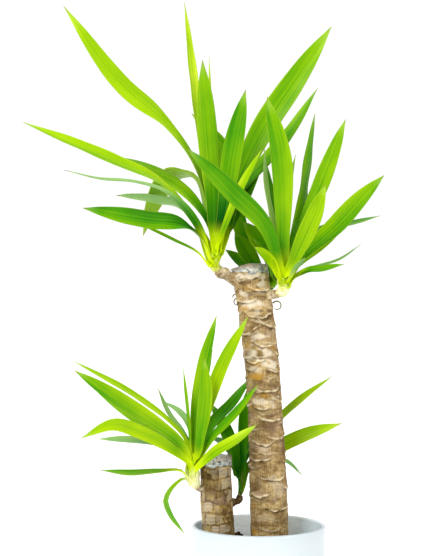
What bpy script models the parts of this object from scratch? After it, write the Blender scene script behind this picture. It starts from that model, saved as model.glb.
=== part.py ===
"""Potted two-cane yucca, about 0.97 m tall, in a plain white pot 0.2 m across.

Metres, +Z up. The origin is the centre of the pot's flat underside, and the side that is
seen first looks along -Y. All lengths in the tables below are in millimetres.
"""

import bisect
import math

import bmesh
import bpy
from mathutils import Vector, noise

MM = 0.001
GAP = 0.3
UP = Vector((0, 0, 1))

# Pot: a straight, slightly tapered planter with a thin wall and a rounded lip.
POT_HEIGHT = 185.0
POT_RIM_RADIUS = 100.0
POT_BASE_RADIUS = 96.0
POT_WALL = 4.8
POT_FLOOR = 6.0
POT_FOOT_ROUND = 3.0
POT_SIDES = 36

# Soil: its mean level, its unevenness, and one clod beside the short cane's foot.
SOIL_LEVEL = 147.0
SOIL_LUMP = 2.2
SOIL_SIDES = 24
CLOD_PLACE = Vector((-30, 60))
CLOD_HEIGHT = 17.0
CLOD_RADIUS = 9.0

# Canes: rows of (height, across, depth, diameter) along each one, from its foot in the soil.
TALL_CANE = [
    (70, 19.5, 8, 55.6),
    (148, 17.3, 8, 56.4),
    (220, 15.3, 8, 56.0),
    (321, 11.4, 8, 52.8),
    (415, 5.9, 8, 51.0),
    (504, -4.1, 8, 52.6),
    (577.5, -14.5, 8, 53.0),
]
SHORT_CANE = [
    (70, -58.5, -2, 47.4),
    (183, -61.0, -2, 48.2),
    (232, -63.5, -2, 47.6),
    (290, -64.8, -2, 46.0),
]
TALL_SIDES = 18
TALL_RINGS = 40
SHORT_SIDES = 16
SHORT_RINGS = 15
BARE_BELOW = 158.0
RELIEF_FADE = 12.0

# The tall cane is sawn square on the right and falls away to the left of this place.
SLANT_FROM = -16.0
SLANT = 0.35

# Wax coats over the sawn ends: where they begin, and how thick they are.
TALL_WAX_LINE = 563.5
SHORT_WAX_LINE = 275.0
WAX = 1.3
WAX_LIP = 0.5
WAX_BELLY = 0.9
WAX_SHOULDER = (1.5, 0.4)
WAX_ROUND = 2.5

# Leaf scars seen on the front of the tall cane: rows of (height, middle in degrees round
# from the front, half width in degrees, how much its ends rise).
FRONT_SCARS = [
    (208, 25, 50, 8),
    (228, -35, 40, 6),
    (253, 15, 50, 7),
    (282, -30, 45, 6),
    (307, -15, 45, 7),
    (342, 25, 60, 8),
    (360, -15, 35, 4),
    (385, 14, 50, 8),
    (415, 50, 45, 6),
    (429, -30, 50, 6),
    (452, 20, 45, 7),
    (470, -60, 80, 22),
    (496, 10, 55, 9),
    (518, -40, 50, 8),
    (536, 35, 55, 8),
    (554, -10, 50, 7),
]
SCARS_ROUND = ((0, 0), (123, 11), (-121, 19))
SCAR_HEIGHT = 1.5
SCAR_THICKNESS = 4.5

# The short cane's bark breaks into blocks.
BLOCK_HEIGHT = 17.0
BLOCKS_ROUND = 9
CRACK_DEPTH = 1.3
CRACK_WIDTH = 3.5
BLOCK_STEP = 0.38

# Cut side stubs that carry the crowns: points along each as (across, up, depth, radius), and
# the crown that it ends under.
STUBS = {
    "tall_cane": [
        ([(-12, 543, 6, 12), (-38, 553.5, 1, 9.2), (-46, 558.3, -2, 8.2), (-54.5, 562.8, -4, 10.2)],
         "crown_upper_left"),
        ([(4, 527, 0, 8.5), (14, 529, -4, 8.2)], "crown_upper_right"),
        ([(-4, 528, 14, 6.5), (6, 532, 28, 6.2)], "crown_upper_back"),
    ],
    "short_cane": [
        ([(-70, 242, -6, 8.5), (-84, 241.5, -12, 7.2)], "crown_lower_left"),
        ([(-52, 221, 0, 6.8), (-36, 217.5, 8, 6.2), (-29, 221.5, 16, 5.4)], "crown_lower_right"),
    ],
}
STUB_RINGS = 8

# Dry curls of bark on the tall cane: rows of (centre, radius, first angle, last angle).
CURLS = [
    ((27.5, 513.5, 6), 6.8, 150, -140),
    ((-34.5, 526, 7), 5.0, -40, 200),
    ((-32.0, 519, 9), 5.5, 50, 290),
]
CURL_THICKNESS = 1.5
CURL_RINGS = 11
CURL_CLOSES = 0.15

# Crowns: points along the leafy stem as (across, up, depth), and its radius at each.
CROWNS = {
    "crown_upper_left": (
        [(-60.5, 566.5, -5), (-66, 572.5, -6), (-64.5, 592, -6), (-63, 610, -6)],
        (8.3, 9.4, 11.0, 7.5),
    ),
    "crown_upper_right": (
        [(27.5, 531, -8), (35.5, 535.5, -10), (36.5, 556, -10), (37, 582, -10)],
        (7.5, 9.4, 10.2, 7.0),
    ),
    "crown_upper_back": (
        [(13, 537, 38), (20, 543, 44), (20, 562, 46), (18, 584, 47)],
        (6.0, 7.5, 7.5, 4.0),
    ),
    "crown_lower_left": (
        [(-92, 240.5, -16), (-97, 250, -19), (-100.5, 273, -21), (-101.5, 298, -21)],
        (5.5, 8.8, 10.8, 8.0),
    ),
    "crown_lower_right": (
        [(-28, 229, 19), (-25, 242, 20), (-25, 258, 21), (-24, 276, 22)],
        (4.8, 6.0, 6.8, 4.2),
    ),
}

# Every place is given as a ruler in the plane of the pot's middle would read it from this
# eye, so the outline from the front stays the same whatever depth a leaf is given.
EYE = Vector((-54.3, -2160.0, 555.0))

# Leaves, one row each: points along the middle of the blade, the last one its tip, as (across,
# up, depth) from the crown's own place below; the greatest width; the turn of the upper face
# away from the eye at the foot and at the tip, in degrees, with the places along the leaf where
# it starts and ends to turn if these aren't the usual ones; and the depth of the tip of a
# shorter partner that grows behind it on the far side, or 0 where there is none.
USUAL_TURN_PLACES = (0.1, 0.55)
LEAF_ORIGINS = {
    "crown_upper_left": (-62.5, 567, -5),
    "crown_upper_right": (36.5, 535.5, -10),
    "crown_upper_back": (20, 541.5, 42),
    "crown_lower_left": (-94, 241.5, -21),
    "crown_lower_right": (-25, 246, 20),
}
LEAVES = {
    "crown_upper_left": [
        ([(-12, 78, -4), (-33, 156, -12), (-75, 217, -22), (-141, 276, -38), (-231, 397, -60)],
         27, (66, 12, 0.42, 0.66), 0),
        ([(-21, 50, 8), (-42, 84, 14), (-85, 131, 24), (-157, 166, 36), (-292, 222, 52)],
         22, (64, 42, 0.3, 0.6), 0),
        ([(-16, 72, 14), (-40, 109, 24), (-82, 140, 44), (-157, 171, 72)], 22, (60, 32), 0),
        ([(-14, 32, -6), (-33, 72, -8), (-78, 117, -14), (-121, 131, -20), (-175, 136, -24),
          (-229, 150, -26)],
         21, (10, 79), 0),
        ([(-25, 57, 20), (-58, 96, 46), (-100, 105, 84), (-151, 112, 130)], 26, (60, 122), 0),
        ([(-12, 20, -14), (-27, 50, -26), (-48, 66, -38), (-105, 75, -62), (-202, 93, -90)],
         27, (84, 20, 0.26, 0.46), 0),
        ([(-10, 6, -12), (-27, 25, -20), (-66, 46, -32), (-136, 79, -46)], 5, (20, 20), 0),
        ([(-18, 82, 34), (-37, 139, 66), (-69, 140, 96), (-97, 92, 114), (-111, 51, 120)],
         38, (96, 155, 0.5, 0.75), 0),
        ([(-6, 57, -8), (-8, 112, -14), (-14, 190, -18), (-22, 316, -12)], 30, (15, 12), 155),
        ([(-9, 76, 8), (-18, 150, 16), (-31, 245, 26), (-49, 402, 42)], 21, (50, 50), 0),
        ([(-5, 112, 2), (-9, 190, 3), (-12, 322, 4)], 9, (50, 50), 0),
        ([(6, 60, -10), (12, 97, -22), (24, 180, -34), (43, 271, -34)], 30, (12, 12), 190),
        ([(12, 60, 4), (33, 134, 10), (69, 211, 22), (117, 284, 38), (172, 366, 60)], 37, (15, 10), 0),
        ([(10, 60, -28), (34, 120, -48), (67, 181, -58)], 14, (35, 35), 0),
        ([(22, 72, 28), (46, 124, 50), (69, 172, 72)], 26, (28, 28), 0),
        ([(14, 56, 22), (36, 120, 46), (75, 166, 68), (102, 197, 86), (151, 273, 115)], 22, (40, 30), 0),
    ],
    "crown_upper_right": [
        ([(-10, 50, -26), (-22, 88, -42), (-79, 151, -80), (-144, 214, -110)], 28, (15, 12), 0),
        ([(0, 50, -14), (0, 106, -26), (-3, 199, -36), (-24, 292, -30)], 31, (10, 10), 150),
        ([(12, 48, 8), (24, 91, 18), (37, 174, 30), (48, 267, 38)], 34, (10, 68), 0),
        ([(14, 50, 0), (33, 100, -4), (64, 176, -10), (94, 258, -12)], 26, (20, 20), 165),
        ([(9, 30, -18), (24, 62, -36), (46, 110, -66), (64, 159, -92)], 27, (15, 15), 0),
        ([(10, 25, -10), (28, 50, -16), (82, 101, -32), (114, 136, -42), (152, 174, -54)],
         28, (40, 12), 140),
        ([(10, 38, 10), (28, 68, 26), (54, 90, 40), (103, 101, 64), (146, 113, 90)], 20, (60, 64), 0),
        ([(8, 4, -10), (16, 18, -20), (36, 30, -38), (61, 33, -62), (91, 40, -84)], 17, (70, 55), 0),
        ([(12, 20, 4), (40, 34, 8), (85, 48, 8), (117, 70, 6)], 4.5, (30, 30), 0),
        ([(-6, 20, -14), (-14, 39, -26), (-28, 55, -46), (-43, 66, -66)], 16, (25, 25), 0),
        ([(-8, 30, -4), (-19, 55, -8), (-31, 67, -16), (-45, 78, -28)], 8, (35, 35), 0),
        ([(8, 12, -14), (14, 22, -28), (22, 36, -46), (33, 50, -66)], 17, (118, 118), 0),
        ([(3, 60, 4), (6, 114, 6), (10, 165, 8), (19, 205, 10)], 11, (35, 35), 0),
        ([(-6, 50, 6), (-16, 103, 12), (-27, 159, 17), (-28, 217, 20)], 22, (58, 70), 0),
        ([(-5, 50, 14), (-12, 99, 30), (-19, 144, 44), (-25, 193, 56)], 20, (50, 50), 0),
    ],
    "crown_upper_back": [
        ([(-15, 20, 10), (-31, 46, 14), (-46, 82, 18), (-60, 130, 24), (-75, 205, 30), (-121, 261, 34)],
         32, (20, 20), 0),
        ([(-20, 26, 18), (-43, 36, 22), (-70, 56, 18)], 24, (40, 40), 0),
        ([(-3, 37, -6), (-21, 70, -14), (-43, 98, -20)], 26, (30, 20), 0),
        ([(-14, 20, 6), (-35, 47, 6), (-56, 82, 7)], 28, (25, 25), 0),
        ([(-14, 24, 16), (-29, 20, 24), (-41, -16, 32), (-49, -61, 34)], 15, (30, 30), 0),
        ([(8, 62, 30), (4, 112, 66), (-8, 160, 104)], 24, (30, 30), 0),
        ([(14, 48, 44), (18, 84, 96), (16, 98, 150)], 24, (55, 55), 0),
        ([(-10, 42, 46), (-18, 72, 100), (-32, 78, 150)], 22, (50, 50), 0),
        ([(-14, 22, 40), (-26, 16, 84), (-30, -20, 120)], 20, (60, 60), 0),
    ],
    "crown_lower_left": [
        ([(-8, 45, 4), (-18, 73, 10), (-40, 98, 18), (-80, 129, 28), (-186, 190, 44)], 14, (52, 50), 0),
        ([(-11, 44, -6), (-30, 72, -14), (-56, 92, -22), (-114, 130, -36), (-183, 175, -50)],
         23, (20, 12), 160),
        ([(-10, 34, -14), (-31, 52, -30), (-87, 83, -62), (-121, 93, -78), (-173, 73, -96)],
         21, (30, 18), 0),
        ([(-12, 38, 4), (-50, 63, 12), (-99, 70, 24), (-148, 72, 36)], 18, (40, 52), 0),
        ([(-10, 44, 8), (-36, 70, 30), (-66, 85, 66), (-97, 94, 98)], 18, (40, 40), 0),
        ([(-10, 14, -6), (-20, 22, -10), (-54, 23, -16), (-99, 20, -26), (-144, 25, -38)],
         18, (82, 60), 0),
        ([(-10, 13, -6), (-20, 13, -10), (-31, 5, -15), (-42, -9, -20), (-46, -20, -23), (-41, -37, -25),
          (-17, -71, -26)],
         8.5, (30, 20), 0),
        ([(-6, 48, 14), (-21, 82, 36), (-42, 111, 60), (-58, 150, 80)], 16, (62, 62), 0),
        ([(-2, 48, 16), (-9, 85, 44), (-27, 114, 86), (-51, 129, 118)], 17, (55, 55), 0),
        ([(-9, 82, 4), (-13, 127, 8), (-19, 178, 14)], 8, (50, 50), 0),
        ([(-4, 60, 8), (-1, 108, 18), (10, 176, 26), (31, 258, 22)], 20, (25, 25), 120),
        ([(2, 48, -8), (8, 82, -16), (15, 136, -26), (13, 192, -28)], 22, (20, 20), 140),
        ([(2, 45, -4), (11, 93, -2), (36, 173, -8), (78, 256, -20)], 21, (22, 22), 0),
        ([(4, 30, -20), (28, 52, -34), (58, 70, -46), (91, 93, -42)], 18, (30, 30), 0),
        ([(4, 40, -6), (25, 74, -14), (60, 111, -26), (93, 153, -32)], 15, (35, 35), 0),
        ([(4, 48, 18), (24, 94, 46), (54, 126, 74), (84, 166, 92)], 19, (30, 30), 0),
    ],
    "crown_lower_right": [
        ([(-5, 12, 4), (-13, 48, 14), (-27, 84, 26), (-46, 120, 46)], 25, (35, 35), 0),
        ([(1, 22, 4), (1, 58, 10), (3, 99, 20), (7, 141, 26)], 18, (15, 15), 110),
        ([(-5, 9, 2), (-11, 19, 5), (-17, 28, 7)], 5, (20, 20), 0),
        ([(6, 34, 24), (34, 74, 44), (84, 123, 62), (136, 162, 64)], 19, (52, 52), 0),
        ([(8, 22, 24), (34, 42, 46), (91, 72, 58), (150, 91, 46)], 23, (18, 18), 0),
        ([(8, 16, 26), (30, 27, 54), (66, 34, 78), (91, 12, 80)], 14, (55, 55), 0),
        ([(-14, 40, 30), (-30, 62, 70), (-44, 70, 112)], 18, (45, 45), 0),
        ([(6, 44, 34), (14, 78, 72), (18, 96, 112)], 18, (40, 40), 0),
    ],
}
PARTNER_SIZE = 0.8
# Leaves that only the far side shows, in the same form.
FAR_LEAVES = {
    "crown_upper_left": [
        ([(-8, 50, 34), (-20, 88, 92), (-30, 96, 150)], 24, (60, 60), 0),
    ],
    "crown_lower_left": [
        ([(-8, 40, 30), (-16, 66, 76), (-20, 70, 120)], 20, (60, 60), 0),
    ],
}

# The blade's outline, as (place along the leaf, share of the greatest width).
OUTLINE = [
    (0.0, 0.60),
    (0.12, 0.56),
    (0.22, 0.62),
    (0.35, 0.80),
    (0.50, 0.98),
    (0.65, 1.00),
    (0.78, 0.84),
    (0.90, 0.48),
    (1.0, 0.0),
]
FEWEST_STATIONS = 5
MOST_STATIONS = 8
STATION_SPACING = 48.0
TIP_WIDTH = 1.0
CLASPS_UNTIL = 0.25
FOLDED_UNTIL = 0.45
STEM_PULL = 0.4
EDGE_THICKNESS = 0.7
RIB_THICKNESS = 1.5
FOLD_AT_FOOT = 0.6
FOLD_IN_BLADE = 0.2
CLASP = 0.5
ROOT_LOW = 0.25
ROOT_HIGH = 0.75
STEM_SIDES = 9

# Colours and roughness.
FINISHES = {
    "pot": ((0.86, 0.88, 0.90), 0.28),
    "soil": ((0.035, 0.024, 0.018), 0.95),
    "tall_bark": ((0.43, 0.31, 0.20), 0.85),
    "short_bark": ((0.25, 0.17, 0.11), 0.9),
    "wax": ((0.38, 0.37, 0.35), 0.55),
    "upper_leaf": ((0.24, 0.52, 0.02), 0.35),
    "lower_leaf": ((0.18, 0.45, 0.02), 0.35),
}


def clear_scene():
    for obj in list(bpy.data.objects):
        bpy.data.objects.remove(obj, do_unlink=True)


def finish_named(name):
    """A Principled material of this name, made once."""
    if name in bpy.data.materials:
        return bpy.data.materials[name]
    colour, roughness = FINISHES[name]
    material = bpy.data.materials.new(name)
    material.use_nodes = True
    shader = material.node_tree.nodes["Principled BSDF"]
    shader.inputs["Base Color"].default_value = (*colour, 1)
    shader.inputs["Roughness"].default_value = roughness
    shader.inputs["Metallic"].default_value = 0
    return material


def smooth(x):
    x = min(max(x, 0.0), 1.0)
    return x * x * (3 - 2 * x)


def curve_through(knots, times, first_slope=None):
    """A function of time that passes each knot at its own time, with no corner."""
    steps = [(b - a) / (t - s) for a, b, s, t in zip(knots, knots[1:], times, times[1:])]
    slopes = [first_slope or steps[0]]
    for i in range(1, len(steps)):
        share = (times[i] - times[i - 1]) / (times[i + 1] - times[i - 1])
        slopes.append(steps[i - 1].lerp(steps[i], share))
    slopes.append(steps[-1])

    def place(time):
        i = min(max(bisect.bisect_right(times, time) - 1, 0), len(steps) - 1)
        span = times[i + 1] - times[i]
        u = (time - times[i]) / span
        start = knots[i] * (2 * u**3 - 3 * u**2 + 1) + slopes[i] * span * (u**3 - 2 * u**2 + u)
        end = knots[i + 1] * (3 * u**2 - 2 * u**3) + slopes[i + 1] * span * (u**3 - u**2)
        return start + end

    return place


def chord_times(knots):
    times = [0.0]
    for a, b in zip(knots, knots[1:]):
        times.append(times[-1] + (b - a).length)
    return times


def seen_at(across, up, depth):
    """The point at this depth that the eye sees at (across, up) in the plane of the pot's middle."""
    flat = Vector((across, 0, up))
    return EYE + (flat - EYE) * (1 - depth / EYE.y)


def across_axis(direction):
    """Two unit vectors square to the direction and to each other, the first one level."""
    first = direction.cross(Vector((0, 1, 0)))
    first.normalize()
    return first, first.cross(direction).normalized()


def ring_about(centre, direction, radius, sides):
    first, second = across_axis(direction)
    turns = [2 * math.pi * k / sides for k in range(sides)]
    return [centre + (first * math.cos(a) + second * math.sin(a)) * radius for a in turns]


def new_object(name, points, faces, finish):
    """A closed mesh object from points in millimetres, with its faces pointing out."""
    bm = bmesh.new()
    corners = [bm.verts.new(point * MM) for point in points]
    for face in faces:
        bm.faces.new([corners[i] for i in face])
    if bm.calc_volume(signed=True) < 0:
        bmesh.ops.reverse_faces(bm, faces=bm.faces)
    mesh = bpy.data.meshes.new(name)
    bm.to_mesh(mesh)
    bm.free()
    mesh.materials.append(finish_named(finish))
    obj = bpy.data.objects.new(name, mesh)
    bpy.context.scene.collection.objects.link(obj)
    return obj


def tube_object(name, rings, finish, flat_ends=False):
    """A closed skin over rings of equal size, its ends closed by one flat face or by a fan."""
    sides = len(rings[0])
    points = [point for ring in rings for point in ring]
    faces = []
    for i in range(len(rings) - 1):
        for j in range(sides):
            k = (j + 1) % sides
            a, b = i * sides, (i + 1) * sides
            faces += [(a + j, a + k, b + k), (a + j, b + k, b + j)]
    last = len(points) - sides
    if flat_ends:
        faces += [tuple(reversed(range(sides))), tuple(range(last, last + sides))]
        return new_object(name, points, faces, finish)
    for start, order in ((0, -1), (last, 1)):
        middle = len(points)
        ring = points[start : start + sides]
        points.append(sum(ring, Vector()) / sides)
        for j in range(sides):
            pair = (start + j, start + (j + 1) % sides)
            faces.append((*pair[::order], middle))
    return new_object(name, points, faces, finish)


def with_boolean(body, others, operation):
    """Applies one Boolean with all the others at once, removes them, and keeps the outer skin.

    The second solver is used where the first one leaves an edge open.
    """
    group = bpy.data.collections.new(body.name + "_others")
    bpy.context.scene.collection.children.link(group)
    for other in others:
        bpy.context.scene.collection.objects.unlink(other)
        group.objects.link(other)
    boolean = body.modifiers.new("boolean", "BOOLEAN")
    boolean.operation = operation
    boolean.operand_type = "COLLECTION"
    boolean.collection = group
    for solver in ("EXACT", "MANIFOLD"):
        boolean.solver = solver
        graph = bpy.context.evaluated_depsgraph_get()
        result = bpy.data.meshes.new_from_object(body.evaluated_get(graph))
        if keep_outer_skin(result):
            break
    body.modifiers.clear()
    body.data = result
    for other in others:
        bpy.data.objects.remove(other)
    bpy.data.collections.remove(group)


def keep_outer_skin(mesh):
    """Drops loose scraps and sealed hollows, and tells whether the skin that is left is closed."""
    bm = bmesh.new()
    bm.from_mesh(mesh)
    bmesh.ops.remove_doubles(bm, verts=bm.verts, dist=0.002 * MM)
    bmesh.ops.dissolve_degenerate(bm, edges=bm.edges, dist=0.001 * MM)
    unseen = set(bm.faces)
    skins = []
    while unseen:
        skin = []
        reached = [unseen.pop()]
        while reached:
            face = reached.pop()
            skin.append(face)
            for edge in face.edges:
                for near in edge.link_faces:
                    if near in unseen:
                        unseen.discard(near)
                        reached.append(near)
        skins.append(skin)
    skins.sort(key=len)
    for skin in skins[:-1]:
        bmesh.ops.delete(bm, geom=skin, context="FACES")
    closed = all(edge.is_manifold for edge in bm.edges)
    bm.to_mesh(mesh)
    bm.free()
    return closed


def shade_round(obj, degrees=35):
    obj.data.shade_smooth()
    obj.data.set_sharp_from_angle(angle=math.radians(degrees))


def pot_radius(height):
    """The outside radius of the pot at a height."""
    return POT_BASE_RADIUS + (POT_RIM_RADIUS - POT_BASE_RADIUS) * height / POT_HEIGHT


def make_pot():
    """Outline from the underside out, up the wall, over the lip and down to the floor inside."""
    lip = POT_WALL / 2
    outline = [
        (POT_BASE_RADIUS - POT_FOOT_ROUND, 0),
        (pot_radius(POT_FOOT_ROUND), POT_FOOT_ROUND),
        (pot_radius(POT_HEIGHT - lip), POT_HEIGHT - lip),
    ]
    for degrees in (45, 135):
        turn = math.radians(degrees)
        across = POT_RIM_RADIUS - lip + lip * math.cos(turn)
        outline.append((across, POT_HEIGHT - lip + lip * math.sin(turn)))
    outline += [
        (pot_radius(POT_HEIGHT - lip) - POT_WALL, POT_HEIGHT - lip),
        (pot_radius(POT_FLOOR) - POT_WALL, POT_FLOOR),
    ]
    rings = [ring_about(Vector((0, 0, z)), UP, radius, POT_SIDES) for radius, z in outline]
    shade_round(tube_object("pot", rings, "pot", flat_ends=True), 50)


def soil_height(x, y):
    """The soil's uneven top, with the clod."""
    lump = noise.noise(Vector((x / 24, y / 24, 3.7))) + 0.5 * noise.noise(Vector((x / 9, y / 9, 1.3)))
    apart = (Vector((x, y)) - CLOD_PLACE).length
    return SOIL_LEVEL + SOIL_LUMP * lump + CLOD_HEIGHT * math.exp(-((apart / CLOD_RADIUS) ** 2))


def make_soil():
    """A plug that fills the pot, with one blind hole for the foot of each cane."""
    level_radius = pot_radius(SOIL_LEVEL) - POT_WALL - GAP
    floor_radius = pot_radius(POT_FLOOR) - POT_WALL - GAP
    shrink = math.cos(math.pi / POT_SIDES)
    rings = [ring_about(Vector((0, 0, POT_FLOOR + GAP)), UP, floor_radius * shrink, SOIL_SIDES)]
    for share in (1.0, 0.85, 0.68, 0.52, 0.34, 0.16):
        ring = ring_about(Vector(), UP, level_radius * shrink * share, SOIL_SIDES)
        rings.append([Vector((p.x, p.y, soil_height(p.x, p.y))) for p in ring])
    soil = tube_object("soil", rings, "soil")
    cutters = []
    for rows, sides in ((TALL_CANE, TALL_SIDES), (SHORT_CANE, SHORT_SIDES)):
        axis = cane_axis(rows)
        foot = rows[0][0]
        holes = []
        for height in (foot, SOIL_LEVEL, BARE_BELOW, BARE_BELOW + 4 * CLOD_HEIGHT):
            holes.append(cane_ring(axis, height, sides, None, GAP))
        for point in holes[0]:
            point.z -= GAP
        cutters.append(tube_object("hole", holes, "soil"))
    with_boolean(soil, cutters, "DIFFERENCE")
    shade_round(soil)


def cane_axis(rows):
    """A function of height that gives the cane's middle and its radius."""
    heights = [row[0] for row in rows]
    knots = [Vector((across, depth, diameter / 2)) for _, across, depth, diameter in rows]
    along = curve_through(knots, heights)

    def place(height):
        across, depth, radius = along(height)
        return Vector((across, depth, height)), radius

    return place


def scar_relief(degrees, height):
    """How far the ridges of old leaf scars stand out: shallow smiles, three round the cane."""
    relief = 0.0
    for low, middle, half, rise in FRONT_SCARS:
        for turn, lift in SCARS_ROUND:
            off = (degrees - middle - turn + 180) % 360 - 180
            if abs(off) < half:
                line = low + lift + rise * (off / half) ** 2
                edge = 1 - (off / half) ** 4
                relief = max(relief, edge * math.exp(-(((height - line) / SCAR_THICKNESS) ** 2)))
    return SCAR_HEIGHT * relief


def block_relief(degrees, height):
    """How deep the cracks between the short cane's bark blocks are, in rows that step sideways."""
    row = math.floor(height / BLOCK_HEIGHT)
    to_row = min(height - row * BLOCK_HEIGHT, (row + 1) * BLOCK_HEIGHT - height)
    block = 360 / BLOCKS_ROUND
    place = (degrees + row * block * BLOCK_STEP) % block
    radius = SHORT_CANE[1][3] / 2
    to_side = math.radians(min(place, block - place)) * radius
    return -CRACK_DEPTH * math.exp(-((min(to_row, to_side) / CRACK_WIDTH) ** 2))


def slanted(point):
    """The tall cane's end follows the saw cut, which falls away on the left."""
    top = TALL_CANE[-1][0]
    fall = max(0.0, SLANT_FROM - point.x) * SLANT
    share = max(0.0, point.z - TALL_WAX_LINE - 1) / (top - TALL_WAX_LINE - 1)
    return Vector((point.x, point.y, point.z - fall * share))


def unchanged(point):
    return point


def cane_ring(axis, height, sides, relief, out=0.0):
    """One ring of bark, with its relief where the cane stands clear of the soil."""
    centre, radius = axis(height)
    clear = smooth((height - BARE_BELOW) / RELIEF_FADE)
    ring = []
    for k in range(sides):
        degrees = 360 * k / sides
        reach = radius + out + (clear * relief(degrees, height) if relief else 0.0)
        turn = math.radians(degrees)
        ring.append(centre + Vector((math.sin(turn), -math.cos(turn), 0)) * reach)
    return ring


def make_cane(name, rows, sides, ring_count, relief, wax_line, cut, finish):
    """A trunk with its bark relief, its slimmer end under the wax, its stubs and its curls."""
    axis = cane_axis(rows)
    foot, top = rows[0][0], rows[-1][0]
    heights = [foot, SOIL_LEVEL]
    step = (wax_line - BARE_BELOW) / (ring_count - 1)
    heights += [BARE_BELOW + i * step for i in range(ring_count)]
    rings = [cane_ring(axis, height, sides, relief) for height in heights]
    for height in (wax_line + GAP, top - WAX - GAP):
        rings.append(cane_ring(axis, height, sides, None, -WAX - GAP))
    rings = [[cut(point) for point in ring] for ring in rings]
    cane = tube_object(name, rings, finish)
    extras = [make_stub(name, *stub, finish) for stub in STUBS[name]]
    if name == "tall_cane":
        extras += [make_curl(*curl, finish) for curl in CURLS]
    with_boolean(cane, extras, "UNION")
    shade_round(cane, 60)


def stem_points(crown):
    return [seen_at(*point) for point in CROWNS[crown][0]]


def make_stub(name, points, crown, finish):
    """A short cut branch that ends square against the foot of its crown."""
    foot, bend, *_ = stem_points(crown)
    axis = (bend - foot).normalized()
    knots = [Vector((x, depth, z)) for x, z, depth, _ in points] + [foot - axis * GAP]
    radii = [point[3] for point in points] + [CROWNS[crown][1][0] - GAP]
    times = chord_times(knots)
    along = curve_through(knots, times)
    thickness = curve_through([Vector((radius, 0, 0)) for radius in radii], times)
    rings = []
    for i in range(STUB_RINGS):
        share = i / (STUB_RINGS - 1)
        here = along(share * times[-1])
        back = along(max(share - 0.05, 0.0) * times[-1])
        direction = (along((share + 0.05) * times[-1]) - back).normalized()
        direction = direction.lerp(axis, smooth(share * 1.5 - 0.5)).normalized()
        rings.append(ring_about(here, direction, thickness(share * times[-1]).x, STEM_SIDES))
    return tube_object(name + "_stub", rings, finish)


def make_curl(centre, radius, first, last, finish):
    """A loose, dry strip that curls out of the bark in the plane that faces the eye."""
    across, up, depth = centre
    middle = Vector((across, depth, up))
    rings = []
    for i in range(CURL_RINGS):
        share = i / (CURL_RINGS - 1)
        turn = math.radians(first + (last - first) * share)
        spoke = Vector((math.cos(turn), 0, math.sin(turn)))
        direction = Vector((-math.sin(turn), 0.25, math.cos(turn))).normalized()
        swell = CURL_THICKNESS * (1 - 0.5 * share)
        here = middle + spoke * radius * (1 - CURL_CLOSES * share)
        side = direction.cross(spoke).normalized()
        thin = spoke * swell * 0.7
        wide = side * swell
        rings.append([here + thin, here + wide, here - thin, here - wide])
    return tube_object("curl", rings, finish)


def make_wax(name, rows, sides, wax_line, cut):
    """A thin coat over the sawn end, dipped a little way down the bark."""
    axis = cane_axis(rows)
    top = rows[-1][0]
    lift = WAX + GAP
    rings = [
        cane_ring(axis, top - lift + GAP, sides, None, GAP - lift),
        cane_ring(axis, wax_line + 2 * GAP, sides, None, GAP - lift),
        cane_ring(axis, wax_line + 2 * GAP, sides, None, WAX_LIP),
        cane_ring(axis, (wax_line + top) / 2, sides, None, WAX_BELLY),
        cane_ring(axis, top - WAX_SHOULDER[0], sides, None, WAX_SHOULDER[1]),
        cane_ring(axis, top, sides, None, -WAX_ROUND),
    ]
    rings = [[cut(point) for point in ring] for ring in rings]
    shade_round(tube_object(name, rings, "wax"), 50)


def outline_share(t):
    """The blade's share of its greatest width at a place along it."""
    places = [place for place, _ in OUTLINE]
    i = min(max(bisect.bisect_right(places, t) - 1, 0), len(OUTLINE) - 2)
    (a, low), (b, high) = OUTLINE[i], OUTLINE[i + 1]
    return low + (high - low) * (t - a) / (b - a)


def leaf_root(stem, tip):
    """Upright leaves start high on the stem, and those that spread or droop start low."""
    foot, top = stem[0], stem[-1]
    upright = max(0.0, (tip - foot).normalized().dot((top - foot).normalized()))
    times = chord_times(stem)
    share = ROOT_LOW + (ROOT_HIGH - ROOT_LOW) * upright**3
    return curve_through(stem, times)(share * times[-1])


def leaf_spine(crown, row):
    """The stem's points, and the leaf's middle as a function of 0..1, with its length."""
    points = row[0]
    stem = stem_points(crown)
    origin = LEAF_ORIGINS[crown]
    knots = [seen_at(*(a + b for a, b in zip(origin, point))) for point in points]
    knots.insert(0, leaf_root(stem, knots[-1]))
    upward = (stem[-1] - stem[0]).normalized()
    leaving = (upward * STEM_PULL + (knots[1] - knots[0]).normalized()).normalized()
    times = chord_times(knots)
    along = curve_through(knots, times, leaving)
    return stem, lambda t: along(t * times[-1]), times[-1]


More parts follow.
